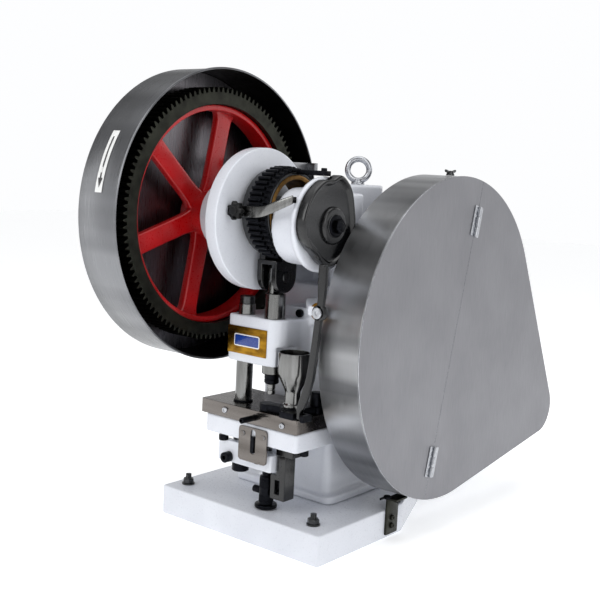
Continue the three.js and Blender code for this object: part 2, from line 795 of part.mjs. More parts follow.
const hopperFoot = shoeZ1 + seat;
const hopperProfile = [
  [0, hopperFoot], [13, hopperFoot], [13, hopperFoot + 4], [10.5, hopperFoot + 6],
  [10.5, hopperRim - 53.5], [hopperRadius, hopperRim - 29.5], [hopperRadius, hopperRim], [hopperRadius - 2, hopperRim],
  [hopperRadius - 2, hopperRim - 28], [8.5, hopperRim - 53], [8.5, hopperFoot + 3], [0, hopperFoot + 3],
];
add('hopper', turnedZ(hopperProfile, hopperX, hopperY, 28), 'steel');
add(
  'shoe_pivot_post',
  join(
    rodZ(6, pivotX, pivotY, plateTop + seat, plateTop + 24.7, 24),
    rodZ(9, pivotX, pivotY, shoeZ1 + seat, plateTop + 29.7, 20),
  ),
  'black',
);

// ---- lift mechanism ----
const liftTop = 330;
add('lift_rod', rodZ(liftRadius, liftX, shaftY, forkBottom - 2, liftTop, 28), 'steel');
add('lift_rod_cap', rodZ(10.5, liftX, shaftY, liftTop + seat, liftTop + 11, 28), 'darkSteel');
add(
  'rod_gland',
  cut(
    rodZ(13.8, liftX, shaftY, plateTop + seat, plateTop + 2.4, 28),
    rodZ(forkHole, liftX, shaftY, plateTop - 5, plateTop + 10),
  ),
  'black',
);
const forkFront = -135;
const liftFork = cut(
  join(
    slabZ(rounded(-50, 48, forkFront, -95, 4), forkBottom, forkTop),
    block(-50, -8, forkFront, forkFront + 12, forkBottom, forkTop + 7),
  ),
  rodZ(liftRadius + seat, liftX, shaftY, forkBottom - 5, forkTop + 15, 28),
);
add('lift_fork', liftFork, 'white');
add('fork_knob', rodY(7.5, -28.5, forkFront - 11, forkFront - seat, forkBottom + 8, 20), 'black');
add('lift_rod_nut', rodZ(12.5, liftX, shaftY, forkBottom - 16, forkBottom - 2 - seat, 8), 'black');
add('lower_punch', rodZ(punchRadius, ramX, shaftY, forkTop + seat, plateTop - 9, 24), 'steel');

const spindleTop = forkBottom - seat;
const spindleFoot = baseHeight + 1.6;
const spindleProfile = [
  [0, spindleFoot], [16, spindleFoot], [16, spindleFoot + 5], [10, spindleFoot + 6],
  [10, spindleTop - 12], [7, spindleTop - 11], [7, spindleTop], [0, spindleTop],
];
add(
  'lower_spindle',
  join(turnedZ(spindleProfile, ramX, shaftY, 28), rodX(5.2, 2, ramX - 8, shaftY, baseHeight + 23.6, 20)),
  'black',
);
const lowerBracket = cut(
  join(
    block(52, 81, -128, -98, forkTop + 2, bedBottom - seat),
    block(40.5, 66, -124, -102, baseHeight + 20.6, forkTop + 2.5),
    block(52, 66, -124, -102, forkTop + 2, forkTop + 4),
  ),
  block(48, 57, -130, -95, baseHeight + 28.6, baseHeight + 48.6),
  block(30, 51, -130, -95, forkBottom - 4, forkTop + 8),
);
add('lower_bracket', lowerBracket, 'black');

const stopZ0 = forkTop - 11;
const stopZ1 = bedBottom + 22.5;
const stopY1 = bedFront - seat;
const stopPlate = join(
  cut(
    slabY(rounded(-1.5, 49.8, stopZ0, stopZ1, 5), stopY1 - 3, stopY1),
    slabY(rounded(20.5, 29.5, forkTop + 1, stopZ1 - 2.5, 4.4, 5), stopY1 - 6, stopY1 + 3),
  ),
  rodY(3.6, 6.2, stopY1 - 5, stopY1 - 2, stopZ1 - 10.6, 16),
  rodY(3.6, 43.1, stopY1 - 5, stopY1 - 2, stopZ1 - 10.2, 16),
);
add('stop_plate', stopPlate, 'steel');
add(
  'stop_key',
  join(
    block(22, 28, stopY1 - 5, stopY1 + 0.1, forkTop + 3, stopZ1 - 12),
    block(22, 28, stopY1, forkFront - seat, forkTop + 3, forkTop + 7),
    block(22, 28, forkFront - 4, forkFront - seat, forkBottom + 9, forkTop + 4),
  ),
  'black',
);

// ---- countershaft and drive ----
add('countershaft', rodX(counterRadius, gearFace - gearWidth - 4, 168, counterY, counterZ, 24), 'darkSteel');
const pinionPitch = (pinionTeeth * gearModule) / 2;
const pinionPhase = meshHeading + Math.PI + Math.PI / pinionTeeth;
const pinionOutline = toothed(
  pinionTeeth,
  pinionPitch + gearModule,
  pinionPitch - dedendum * gearModule,
  0.2,
  0.54,
  pinionPhase,
);
const pinion = cut(
  slabX(about(pinionOutline, counterY, counterZ), gearFace - gearWidth + 1, gearFace - 1),
  rodX(counterRadius + seat, gearFace - gearWidth - 5, gearFace + 5, counterY, counterZ, 24),
);
add('pinion', pinion, 'darkSteel');

const beltX0 = 146;
const beltX1 = 156;
const bigPulleyRadius = 185;
const smallPulleyRadius = 34;
const grooveDepth = 7.5;
const beltInset = 7;
const beltCrown = 1;
const groovedRim = (radius, y, z, sides) =>
  join(
    rodX(radius, 140, beltX0 - 0.6, y, z, sides),
    rodX(radius - grooveDepth, beltX0 - 1, beltX1 + 1, y, z, sides),
    rodX(radius, beltX1 + 0.6, 162, y, z, sides),
  );
const bigPulley = cut(
  groovedRim(bigPulleyRadius, counterY, counterZ, 36),
  cut(
    rodX(bigPulleyRadius - 18, 135, 147, counterY, counterZ, 24),
    rodX(30, 130, 150, counterY, counterZ, 24),
  ),
  cut(
    rodX(bigPulleyRadius - 18, 155, 170, counterY, counterZ, 24),
    rodX(30, 150, 175, counterY, counterZ, 24),
  ),
  rodX(counterRadius + seat, 130, 175, counterY, counterZ, 24),
);
add('big_pulley', bigPulley, 'darkSteel');
const beltLoop = (inset, x0, x1) =>
  slabX(
    stretched(counterY, counterZ, bigPulleyRadius - inset, motorY, motorZ, smallPulleyRadius - inset, 40),
    x0,
    x1,
  );
const beltOutside = beltLoop(-beltCrown, beltX0, beltX1);
add('v_belt', cut(beltOutside, beltLoop(beltInset, beltX0 - 5, beltX1 + 5)), 'rubber');

const motorFace = 112;
const motor = join(
  rodX(motorRadius, -70, motorFace - 12, motorY, motorZ, 28),
  rodX(motorRadius - 12, -84, motorFace, motorY, motorZ, 28),
  block(-15, 45, motorY - 32, motorY + 32, motorZ + 40, motorZ + 84),
  block(-45, 90, motorY - 45, motorY + 45, motorZ - motorRadius - 2, motorZ - 35),
);
add('motor', motor, 'motor');
add(
  'motor_pulley',
  join(
    rodX(9.5, motorFace + seat, 166, motorY, motorZ, 24),
    groovedRim(smallPulleyRadius, motorY, motorZ, 20),
  ),
  'darkSteel',
);

const shelfTop = motorZ - motorRadius - 2 - seat;
const shelfBottom = shelfTop - 8;
const rib = (x0, x1) =>
  slabX(
    [
      [columnBack + 50, baseHeight + seat],
      [baseBack - 4, baseHeight + seat],
      [baseBack + 150, shelfBottom + 1],
      [columnBack + 50, shelfBottom + 1],
    ],
    x0,
    x1,
  );
add(
  'motor_bracket',
  join(
    block(-55, 98, columnBack + 50, motorY + 62, shelfBottom, shelfTop),
    rib(-40, -30),
    rib(60, 70),
  ),
  'white',
);

// ---- ring lock ----
const lockY = shaftY - ringRadius - 2;
const stripOutline = [
  [0, 455], [40, 455], [56, 458], [78, 467], [102, 477],
  [102, 488], [76, 480], [54, 471], [38, 470], [0, 470],
];
add(
  'lock_strip',
  join(
    slabY(stripOutline, lockY - 2, lockY),
    block(96, 102, lockY - 1, -171.5, 478, 486),
  ),
  'steel',
);
const starOutline = [];
for (let i = 0; i < 32; i += 1) {
  const angle = (2 * Math.PI * i) / 32;
  const radius = 11 + 1.8 * Math.cos(8 * angle);
  starOutline.push([12.6 + radius * Math.cos(angle), 463 + radius * Math.sin(angle)]);
}
add('star_knob', slabY(starOutline, lockY - 14, lockY - 2 - seat), 'black');
const barZ = shaftZ + nose.flange + seat;
add('lock_bar', block(55, camLeft - 1, shaftY - 6, shaftY + 6, barZ, barZ + 6.7), 'black');

export default group;
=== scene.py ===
import math

import bmesh
import bpy
import numpy as np
from mathutils import Matrix, Vector


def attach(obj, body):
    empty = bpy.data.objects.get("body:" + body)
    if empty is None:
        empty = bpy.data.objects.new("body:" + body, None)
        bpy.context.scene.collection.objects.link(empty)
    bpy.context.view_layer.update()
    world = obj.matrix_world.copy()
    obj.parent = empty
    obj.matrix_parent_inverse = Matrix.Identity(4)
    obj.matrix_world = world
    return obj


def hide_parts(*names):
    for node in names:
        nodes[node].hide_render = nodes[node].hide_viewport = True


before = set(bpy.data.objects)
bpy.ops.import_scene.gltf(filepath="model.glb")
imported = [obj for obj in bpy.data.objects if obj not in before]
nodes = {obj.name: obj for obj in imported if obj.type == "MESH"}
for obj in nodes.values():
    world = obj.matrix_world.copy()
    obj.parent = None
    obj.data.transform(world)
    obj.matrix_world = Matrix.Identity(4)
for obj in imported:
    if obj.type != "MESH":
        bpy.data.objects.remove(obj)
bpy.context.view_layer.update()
mm = 0.001
print("frame loaded:", len(nodes), "nodes")

# ---- shapes ----
# Sizes below are in millimetres, X right, Y back, Z up.
# Each axis has its own direction, then the two directions that an outline is drawn in.
axes = {
    "x": np.array([[1, 0, 0], [0, 1, 0], [0, 0, 1]], float),
    "y": np.array([[0, 1, 0], [1, 0, 0], [0, 0, 1]], float),
    "z": np.array([[0, 0, 1], [1, 0, 0], [0, 1, 0]], float),
}


def gridFaces(rows, columns, rowsClosed, columnsClosed):
    # Quad (i, j) joins grid points (i, j), (i, j+1), (i+1, j+1) and (i+1, j), wrapping where closed
    i, j = np.meshgrid(
        np.arange(rows if rowsClosed else rows - 1),
        np.arange(columns if columnsClosed else columns - 1),
        indexing="ij",
    )
    ni, nj = (i + 1) % rows, (j + 1) % columns
    quads = np.stack([i * columns + j, i * columns + nj, ni * columns + nj, ni * columns + j], -1)
    return quads.reshape(-1, 4).tolist()


def softened(path, soft, closed=True, steps=4):
    # Each corner P becomes the curve (1-t)^2 A + 2t(1-t) P + t^2 B, with A and B one radius either side of it
    path = np.asarray(path, float)
    before, after = np.roll(path, 1, 0), np.roll(path, -1, 0)
    reach = np.broadcast_to(np.asarray(soft, float), (len(path),))[:, None]
    inLength = np.linalg.norm(path - before, axis=1, keepdims=True)
    outLength = np.linalg.norm(after - path, axis=1, keepdims=True)
    cut = np.minimum(reach, 0.45 * np.minimum(inLength, outLength))
    a = path + (before - path) / np.maximum(inLength, 1e-9) * cut
    b = path + (after - path) / np.maximum(outLength, 1e-9) * cut
    t = np.linspace(0, 1, steps)[None, :, None]
    curve = (1 - t) ** 2 * a[:, None] + 2 * t * (1 - t) * path[:, None] + t ** 2 * b[:, None]
    if closed:
        return curve.reshape(-1, 2)
    return np.concatenate([path[:1], curve[1:-1].reshape(-1, 2), path[-1:]])


def around(centre, radius, a):
    # Points at the angles a round a centre
    return np.stack([centre[0] + radius * np.cos(a), centre[1] + radius * np.sin(a)], -1)


def turned(profile, axis="z", centre=(0, 0, 0), soft=0.4, closed=False, steps=96):
    # Turned form, for each (radius, place):
    # point = centre + place * axis + radius * (cos a * side + sin a * up)
    path = softened(profile, soft, closed) if soft else np.asarray(profile, float)
    along, side, up = axes[axis] if isinstance(axis, str) else np.asarray(axis, float)
    a = np.linspace(0, 2 * math.pi, steps, endpoint=False)[:, None, None]
    radius, place = path[None, :, 0, None], path[None, :, 1, None]
    points = np.asarray(centre) + place * along + radius * (np.cos(a) * side + np.sin(a) * up)
    return points.reshape(-1, 3), gridFaces(steps, len(path), True, closed)


def sleeve(bore, radius, low, high, centre, soft, steps, axis="x"):
    # Turned ring with a round bore and flat ends
    return turned([(bore, low), (radius, low), (radius, high), (bore, high)], axis, centre, soft, True, steps)


def moved(outline, distance):
    # Offset outline: each point goes outwards along the mean of its two edge normals
    points = np.asarray(outline, float)
    ahead = np.roll(points, -1, 0)
    area = np.sum(points[:, 0] * ahead[:, 1] - ahead[:, 0] * points[:, 1])
    edge = ahead - points
    edge /= np.maximum(np.linalg.norm(edge, axis=1, keepdims=True), 1e-9)
    normal = np.stack([edge[:, 1], -edge[:, 0]], 1) * np.sign(area)
    mean = normal + np.roll(normal, 1, 0)
    mean /= np.maximum(np.linalg.norm(mean, axis=1, keepdims=True), 1e-9)
    stretch = np.maximum(np.sum(mean * normal, axis=1, keepdims=True), 0.4)
    return points + distance * mean / stretch


def lofted(outline, stations, axis="z", closed=False):
    # Lofted form: ring k is the outline moved outwards by its offset, at its place along the axis
    along, side, up = axes[axis] if isinstance(axis, str) else np.asarray(axis, float)
    rings = []
    for offset, place in stations:
        ring = moved(outline, offset)
        rings.append(place * along + ring[:, :1] * side + ring[:, 1:] * up)
    return joinedRings(np.array(rings), closed)


def joinedRings(rings, closed=False):
    # Rings in a row are joined by quads; an open row is closed by a cap at each end
    rows, columns = rings.shape[:2]
    faces = gridFaces(rows, columns, closed, True)
    if not closed:
        faces.append(list(range(columns))[::-1])
        faces.append(list(range((rows - 1) * columns, rows * columns)))
    return rings.reshape(-1, 3), faces


def edges(low, high, soft=0.5, steps=3):
    # Stations of a plate whose edges are quarter circles of radius soft
    a = np.linspace(0, math.pi / 2, steps)
    start = [(-soft * (1 - math.sin(t)), low + soft * (1 - math.cos(t))) for t in a]
    return start + [(offset, low + high - place) for offset, place in reversed(start)]


def ringed(outline, centre, bore, low, high, soft=0.5, axis="x"):
    # Ring with a round bore: the outline outside, and a circle at the same angles inside
    along, side, up = axes[axis]
    outline = np.asarray(outline, float)
    middle = np.asarray(centre, float)
    spoke = outline - middle
    spoke /= np.linalg.norm(spoke, axis=1, keepdims=True)
    hole = middle + bore * spoke
    plan = [(moved(outline, -soft), low), (outline, low + soft), (outline, high - soft)]
    plan += [(moved(outline, -soft), high), (hole + soft * spoke, high), (hole, high - soft)]
    plan += [(hole, low + soft), (hole + soft * spoke, low)]
    rings = [place * along + ring[:, :1] * side + ring[:, 1:] * up for ring, place in plan]
    return joinedRings(np.array(rings), True)


def oblong(x0, x1, y0, y1, corner, steps=6):
    # Rectangle whose corners are quarter circles
    a = np.linspace(0, math.pi / 2, steps)
    arcs = [
        (x1 - corner, y0 + corner, -math.pi / 2), (x1 - corner, y1 - corner, 0),
        (x0 + corner, y1 - corner, math.pi / 2), (x0 + corner, y0 + corner, math.pi),
    ]
    return np.concatenate([around((cx, cy), corner, start + a) for cx, cy, start in arcs])


def circle(radius, centre=(0, 0), steps=64):
    return around(centre, radius, np.linspace(0, 2 * math.pi, steps, endpoint=False))


def boxed(x, y, z, soft=0.5, corner=1.0):
    # Block with rounded upright corners and soft edges
    return lofted(oblong(x[0], x[1], y[0], y[1], corner), edges(z[0], z[1], soft))


def turnedAbout(part, axis, centre, degrees):
    # Rotation of every point about an axis line through the centre
    points, faces = part
    turn = np.array(Matrix.Rotation(math.radians(degrees), 3, Vector(axis)))
    middle = np.asarray(centre, float)
    return (points - middle) @ turn.T + middle, faces


def toothed(centre, teeth, tip, root, tipShare, rootShare, phase=0.0):
    # Toothed outline: root, flank and tip points of one tooth, repeated at every pitch
    pitch = 2 * math.pi / teeth
    radius = np.array([root, root * 0.6 + tip * 0.4, root * 0.2 + tip * 0.8, tip, tip,
                       root * 0.2 + tip * 0.8, root * 0.6 + tip * 0.4, root])
    half = np.array([rootShare, rootShare * 0.68 + tipShare * 0.32, tipShare * 1.25, tipShare * 0.7]) / 2
    share = np.concatenate([-half, half[::-1]])
    a = phase + pitch * (np.arange(teeth)[:, None] + share[None, :])
    return around(centre, radius, a).reshape(-1, 2)


def hexagon(centre, acrossFlats, turn=0.0):
    a = math.radians(turn) + np.arange(6) * math.pi / 3
    return around(centre, acrossFlats / math.sqrt(3), a)


def threaded(axis, centre, radius, low, high, pitch=1.0):
    # Threaded end: the radius goes 0.35 mm in and out once in every pitch
    turns = max(2, int((high - low) / pitch))
    place = np.linspace(low, high, turns * 2 + 1)
    swing = radius - 0.35 * (np.arange(len(place)) % 2)
    profile = np.concatenate([[[0, low]], np.stack([swing, place], 1), [[0, high]]])
    return turned(profile, axis, centre, soft=0, steps=24)


def piece(name, parts, body, finish, slot, stands=(), sharp=34):
    # Joins the parts in one mesh, welds it and turns its faces outwards
    points, faces, marks, start = [], [], [], 0
    for part in parts:
        partPoints, partFaces = part[0], part[1]
        points.append(partPoints)
        faces += [[index + start for index in face] for face in partFaces]
        marks += [part[2] if len(part) > 2 else 0] * len(partFaces)
        start += len(partPoints)
    mesh = bpy.data.meshes.new(name)
    mesh.from_pydata((np.concatenate(points) * mm).tolist(), [], faces)
    mesh.polygons.foreach_set("material_index", np.array(marks, np.int32))
    work = bmesh.new()
    work.from_mesh(mesh)
    bmesh.ops.remove_doubles(work, verts=work.verts, dist=2e-6)
    bmesh.ops.recalc_face_normals(work, faces=work.faces)
    work.to_mesh(mesh)
    work.free()
    return placed(name, mesh, body, finish, slot, stands, sharp)


def placed(name, mesh, body, finish, slot, stands, sharp, bevel=0.0):
    made = bpy.data.objects.new(name, mesh)
    bpy.context.scene.collection.objects.link(made)
    mesh.materials.clear()
    for each in finish if isinstance(finish, (list, tuple)) else [finish]:
        mesh.materials.append(each)
    mesh.shade_smooth()
    mesh.set_sharp_from_angle(angle=math.radians(sharp))
    if bevel:
        chamfer = made.modifiers.new("softEdges", "BEVEL")
        chamfer.width = bevel * mm
        chamfer.segments = 2
        chamfer.limit_method = "ANGLE"
        chamfer.angle_limit = math.radians(38)
        chamfer.use_clamp_overlap = False
        chamfer.harden_normals = False
    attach(made, body)
    if stands:
        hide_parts(*stands)
    return made


def dressed(node, name, body, finish, slot, bevel, sharp=34):
    # Welded copy of a CAD node with flat faces made whole, so that its edges can be softened
    mesh = nodes[node].data.copy()
    mesh.name = name
    for extraName in [a.name for a in mesh.attributes if a.name.startswith("_")]:
        mesh.attributes.remove(mesh.attributes[extraName])
    work = bmesh.new()
    work.from_mesh(mesh)
    bmesh.ops.remove_doubles(work, verts=work.verts, dist=5e-6)
    bmesh.ops.dissolve_limit(work, angle_limit=math.radians(0.8), verts=work.verts, edges=work.edges)
    bmesh.ops.recalc_face_normals(work, faces=work.faces)
    work.to_mesh(mesh)
    work.free()
    return placed(name, mesh, body, finish, slot, (node,), sharp, bevel)


# ---- finishes ----
def hexColour(code):
    # sRGB hex to linear red, green, blue
    raw = np.array([int(code[i:i + 2], 16) / 255 for i in (1, 3, 5)])
    linear = np.where(raw <= 0.04045, raw / 12.92, ((raw + 0.055) / 1.055) ** 2.4)
    return (*linear.tolist(), 1.0)


def add(tree, kind, links=None, **settings):
    # Adds a node; a link is a socket or a fixed value for the input of that name or number
    made = tree.nodes.new("ShaderNode" + kind)
    for key, value in settings.items():
        setattr(made, key, value)
    for key, value in (links or {}).items():
        if isinstance(value, bpy.types.NodeSocket):
            tree.links.new(value, made.inputs[key])
        else:
            made.inputs[key].default_value = value
    return made


def finishOf(name, colour, metallic, roughness, **more):
    # Starts a material with its fixed values on the shader's own sockets
    made = bpy.data.materials.new(name)
    made.use_nodes = True
    tree = made.node_tree
    shader = tree.nodes["Principled BSDF"]
    shader.inputs["Base Color"].default_value = hexColour(colour)
    shader.inputs["Metallic"].default_value = metallic
    shader.inputs["Roughness"].default_value = roughness
    for key, value in more.items():
        shader.inputs[key.replace("_", " ")].default_value = value
    return made, tree, shader


def patterned(tree, shader, scale, low, high, colours=None, rough=None, bump=0.0,
              stretch=(1, 1, 1), detail=3.0):
    # Noise of the stated size in millimetres, stretched by its factors, drives colour, roughness and bump
    place = add(tree, "TexCoord").outputs["Object"]
    mapped = add(tree, "Mapping", {"Vector": place, "Scale": [s * 1000 / scale for s in stretch]})
    noise = add(tree, "TexNoise", {"Vector": mapped.outputs[0], "Scale": 1.0, "Detail": detail})
    level = add(tree, "MapRange", {"Value": noise.outputs["Fac"], "From Min": low,
        "From Max": high}).outputs[0]
    if colours:
        mix = add(tree, "Mix", {0: level, 6: hexColour(colours[0]), 7: hexColour(colours[1])},
            data_type="RGBA")
        tree.links.new(mix.outputs[2], shader.inputs["Base Color"])
    if rough:
        span = add(tree, "MapRange", {"Value": level, "To Min": rough[0], "To Max": rough[1]})
        tree.links.new(span.outputs[0], shader.inputs["Roughness"])
    if bump:
        relief = add(tree, "Bump", {"Height": level, "Strength": bump, "Distance": 0.0004})
        tree.links.new(relief.outputs[0], shader.inputs["Normal"])


def enamel(name, colour, shade, roughness=0.26, peel=0.05, coat=0.35):
    # Sprayed machine enamel over filled castings: soft gloss, faint orange peel 2.5 mm across,
    # and a slow drift of tone where the coat is thicker
    made, tree, shader = finishOf(name, colour, 0.0, roughness, Coat_Weight=coat, Coat_Roughness=0.12)
    patterned(tree, shader, 70, 0.35, 0.68, (colour, shade))
    patterned(tree, shader, 2.5, 0.3, 0.7, rough=(roughness - 0.05, roughness + 0.09), bump=peel)
    return made


def brushed(name, colour, shade, roughness, grain, bands, strength=0.1):
    # Brushed stainless sheet: grain lines half a millimetre wide that run the long way of the sheet,
    # drawn coarser than life so that they show, over broad light and dark bands across the bend that are painted
    # reflections
    made, tree, shader = finishOf(name, colour, 1.0, roughness)
    # This broad noise paints light and dark reflection bands into the base colour
    patterned(tree, shader, 46, 0.34, 0.66, (colour, shade), stretch=bands, detail=1.5)
    patterned(tree, shader, 0.8, 0.3, 0.7, rough=(roughness - 0.07, roughness + 0.1), bump=strength,
        stretch=grain)
    return made


def cutMetal(name, colour, shade, roughness, scale=12, bump=0.04, stretch=(1, 1, 1)):
    # Turned, ground or cast metal: tool marks or pores change tone and roughness a little
    made, tree, shader = finishOf(name, colour, 1.0, roughness)
    patterned(tree, shader, scale, 0.3, 0.7, (colour, shade), stretch=stretch)
    patterned(tree, shader, scale / 9, 0.3, 0.7, rough=(roughness - 0.05, roughness + 0.1), bump=bump,
        stretch=stretch)
    return made


whiteEnamel = enamel("cool white machine enamel", "#e4e7ee", "#dadde5", 0.3, 0.02, 0.3)
redEnamel = enamel("signal red enamel on cast iron", "#c50d12", "#9c070a", 0.3, 0.12)
blackEnamel = enamel("gloss black enamel with an oily skin", "#060608", "#0b0c0e", 0.2, 0.03, 0.25)
motorEnamel = enamel("grey motor enamel", "#66717a", "#59636b", 0.4, 0.12)
# The drum and hood colours carry painted reflection bands: light and dark tones that stand in for the lamps seen
# in the bent sheet
drumSteel = brushed("brushed stainless sheet, grain round the bend", "#6d6e71", "#8c8d90", 0.32,
    (1, 0.02, 0.02), (0.08, 1, 1), 0.03)
hoodSteel = brushed("brushed stainless hood, grain round the bend", "#838487", "#d2d3d5", 0.36,
    (1, 0.02, 0.02), (0.08, 1, 1), 0.03)
lidSteel = brushed("brushed stainless lid sheet", "#88888c", "#8e8e92", 0.42, (0.02, 1, 0.04),
    (1, 0.6, 0.6), 0.03)
# Near-black colour for the inward faces of the guard
drumInside = cutMetal("near-black inside wall of the guard", "#1a1816", "#2b2826", 0.45, 60)
# The back sheet's lighter upright streaks in its colour are painted reflections
drumBack = brushed("dull stainless back sheet with painted reflection streaks", "#5d5b5f", "#7f7c80", 0.3, (1, 1, 0.03), (1, 1, 0.12))
brightSteel = cutMetal("ground and polished steel", "#8e8e8d", "#6d6d6b", 0.16, 9, 0.02, (1, 1, 0.1))
plateSteel = cutMetal("surface ground steel plate", "#7f7a76", "#67625e", 0.2, 16, 0.03, (0.1, 1, 1))
zincSteel = cutMetal("bright zinc plated steel", "#c4c6ca", "#a7a9ae", 0.24, 5)
gearSteel = cutMetal("oiled cast iron with cut teeth", "#3a3b34", "#2a2a26", 0.4, 14, 0.12)
shaftSteel = cutMetal("oiled tool steel", "#5a5b5c", "#3c3d3e", 0.28, 8)
blackOxide = cutMetal("black oxide on steel", "#202125", "#15161a", 0.36, 5, 0.08)
bronze = cutMetal("bearing bronze with oil stain", "#8a6838", "#5c4222", 0.36, 11)
giltPlate = cutMetal("mottled gilt nameplate", "#b4872a", "#5a3c12", 0.3, 13, 0.03, (0.6, 1, 1.6))
blueEnamel = enamel("blue sign enamel", "#1d3f94", "#183680", 0.22, 0.02)
labelFilm = enamel("white label film", "#f1f1f0", "#e8e8e6", 0.45, 0.02)
labelInk = enamel("dark printing ink", "#3f3d3f", "#353335", 0.5, 0.02)
beltRubber, rubberTree, rubberShader = finishOf("wrapped belt rubber", "#141414", 0.0, 0.75)
patterned(rubberTree, rubberShader, 1.2, 0.3, 0.7, ("#141414", "#242322"), (0.65, 0.85), 0.2)
knobPlastic, knobTree, knobShader = finishOf("moulded black plastic", "#0b0b0c", 0.0, 0.34,
    Specular_IOR_Level=0.3)
patterned(knobTree, knobShader, 1.5, 0.3, 0.7, rough=(0.26, 0.42), bump=0.08)
# A finish and the frame's name for its material go together
oxide = (blackOxide, "black_oxide")
bright = (brightSteel, "polished_steel")
zinc = (zincSteel, "polished_steel")
tool = (shaftSteel, "tool_steel")
cream = (whiteEnamel, "cream_paint")
gloss = (blackEnamel, "black_paint")
castIron = (gearSteel, "cast_gear")
print("finishes made")

# ---- places that many pieces share ----
shaftY, shaftZ, ringZ = -112.9, 449.9, 460.9
counterY, counterZ = 96.8, 288.4
motorY, motorZ = 397.2, 140.6
ramX, liftX = 24.9, -26.5
onShaft = (0, shaftY, shaftZ)
onRing = (0, shaftY, ringZ)
onCounter = (0, counterY, counterZ)
onMotor = (0, motorY, motorZ)
onRam = (ramX, shaftY, 0)
onLift = (liftX, shaftY, 0)
postAt, hopperAt = (88, -90, 0), (72, -123, 0)
meshTurn = math.atan2(counterZ - shaftZ, counterY - shaftY)


# ---- base, column and bearing ----
base = {
    "half": 148.5, "front": -148.5, "shoulder": 51.5, "back": 186, "backHalf": 91.6, "height": 43.4, "soft": 2.4,
}
basePlan = softened([
    [-base["half"], base["front"]], [base["half"], base["front"]], [base["half"], base["shoulder"]],
    [base["backHalf"], base["back"]], [-base["backHalf"], base["back"]], [-base["half"], base["shoulder"]],
], 5, steps=6)
piece("base_casting", [lofted(basePlan, edges(0, base["height"], base["soft"], 5))], "press",
    *cream, ["base_plate"])

column = {
    "grain": 2.1, "relax": 9, "nose": 51.7, "flange": 63.6, "boss": 30, "swing": 18, "hopperRoom": 22.9,
}
roundParts = [
    sleeve(16.4, column["nose"], 54.6, 103, (0, shaftY, 445.6), 0, 120),
    sleeve(16.4, column["flange"], 95, 104.5, onShaft, 0, 120),
    sleeve(13, column["boss"], -72, -50, onCounter, 0, 96),
    sleeve(13, column["boss"], 66, 116, onCounter, 0, 96),
]


def castBody():
    # The column casting is refilled as one skin on a fine lattice and relaxed,
    # which rounds its edges and fills its inside corners as a sand casting has them
    mesh = nodes["frame_casting"].data.copy()
    mesh.name = "column_casting"
    work = bmesh.new()
    work.from_mesh(mesh)
    bmesh.ops.remove_doubles(work, verts=work.verts, dist=5e-6)
    for points, faces in roundParts:
        corners = [work.verts.new(p) for p in points * mm]
        for face in faces:
            work.faces.new([corners[i] for i in face])
    work.to_mesh(mesh)
    work.free()
    body = bpy.data.objects.new("column_casting", mesh)
    bpy.context.scene.collection.objects.link(body)
    lattice = body.modifiers.new("lattice", "REMESH")
    lattice.mode = "VOXEL"
    lattice.voxel_size = column["grain"] * mm
    relax = body.modifiers.new("relax", "SMOOTH")
    relax.factor = 0.5
    relax.iterations = column["relax"]
    bpy.context.view_layer.update()
    done = bpy.data.meshes.new_from_object(body.evaluated_get(bpy.context.evaluated_depsgraph_get()))
    done.name = "column_casting"
    flat = np.zeros(len(done.vertices) * 3)
    done.vertices.foreach_get("co", flat)
    spots = flat.reshape(-1, 3) / mm
    for degrees in np.linspace(0, -column["swing"], 18):
        # Whatever reaches into the hopper's swing is moved out to its clearance
        turn = math.radians(degrees)
        armX, armY = hopperAt[0] - postAt[0], hopperAt[1] - postAt[1]
        x = postAt[0] + armX * math.cos(turn) - armY * math.sin(turn)
        y = postAt[1] + armX * math.sin(turn) + armY * math.cos(turn)
        away = spots[:, :2] - (x, y)
        reach = np.linalg.norm(away, axis=1)
        inside = (reach < column["hopperRoom"]) & (spots[:, 2] > 240) & (spots[:, 2] < 277.5)
        short = column["hopperRoom"] - reach[inside, None]
        spots[inside, :2] += away[inside] / reach[inside, None] * short
    done.vertices.foreach_set("co", (spots * mm).ravel())
    bpy.data.objects.remove(body)
    return done


placed("column_casting", castBody(), "press", *cream, ["frame_casting"], 60)
disc = {"radius": 97.8, "back": -21.1, "front": -1.3, "boss": 47, "bossEnd": -81.1}
piece("bearing_disc", [turned([
    (16.5, disc["bossEnd"]), (disc["boss"] - 1, disc["bossEnd"]), (disc["boss"], disc["bossEnd"] + 1),
    (disc["boss"], -40), (disc["boss"] - 1.4, -39), (disc["boss"] - 1.4, -37.5), (disc["boss"], -36.5),
    (disc["boss"], disc["back"]), (disc["radius"], disc["back"]), (disc["radius"], disc["front"]),
    (16.5, disc["front"]),
], "x", onShaft, [0.5, 1, 1, 0.4, 0.4, 0.4, 0.4, 1.6, 1.8, 1.8, 0.5], True, 160)],
    "press", *cream, ["left_bearing_housing"])
piece("column_screws", [
    turned([(0, -84), (5.4, -84), (5.6, -83), (5.6, -79), (3, -79), (3, -76), (0, -76)], "y",
        (43.5, 0, 322), 0.4, steps=40),
    turned([(0, 132.5), (5.5, 132.5), (6.5, 133.5), (6.5, 141), (0, 141)], "z", (88, -112, 0), 0.4,
        steps=40),
    turned([(0, 133), (6, 133), (7, 134), (7, 141), (0, 141)], "z", (-40, -136, 0), 0.4, steps=40),
], "press", *oxide)
piece("fulcrum_disc", [turned([
    (0, -138.2), (11, -138.2), (11.8, -137.4), (11.8, -134.6), (0, -134.6),
], "y", (118, 0, 338), 0.4, steps=64)], "press", giltPlate, "gilt_plate")
print("castings made")

# ---- gear guard ----
guard = {"radius": 205.3, "pinionRadius": 94.5, "left": -149.0, "right": -73.5, "sheet": 1.5, "bead": 1.7}


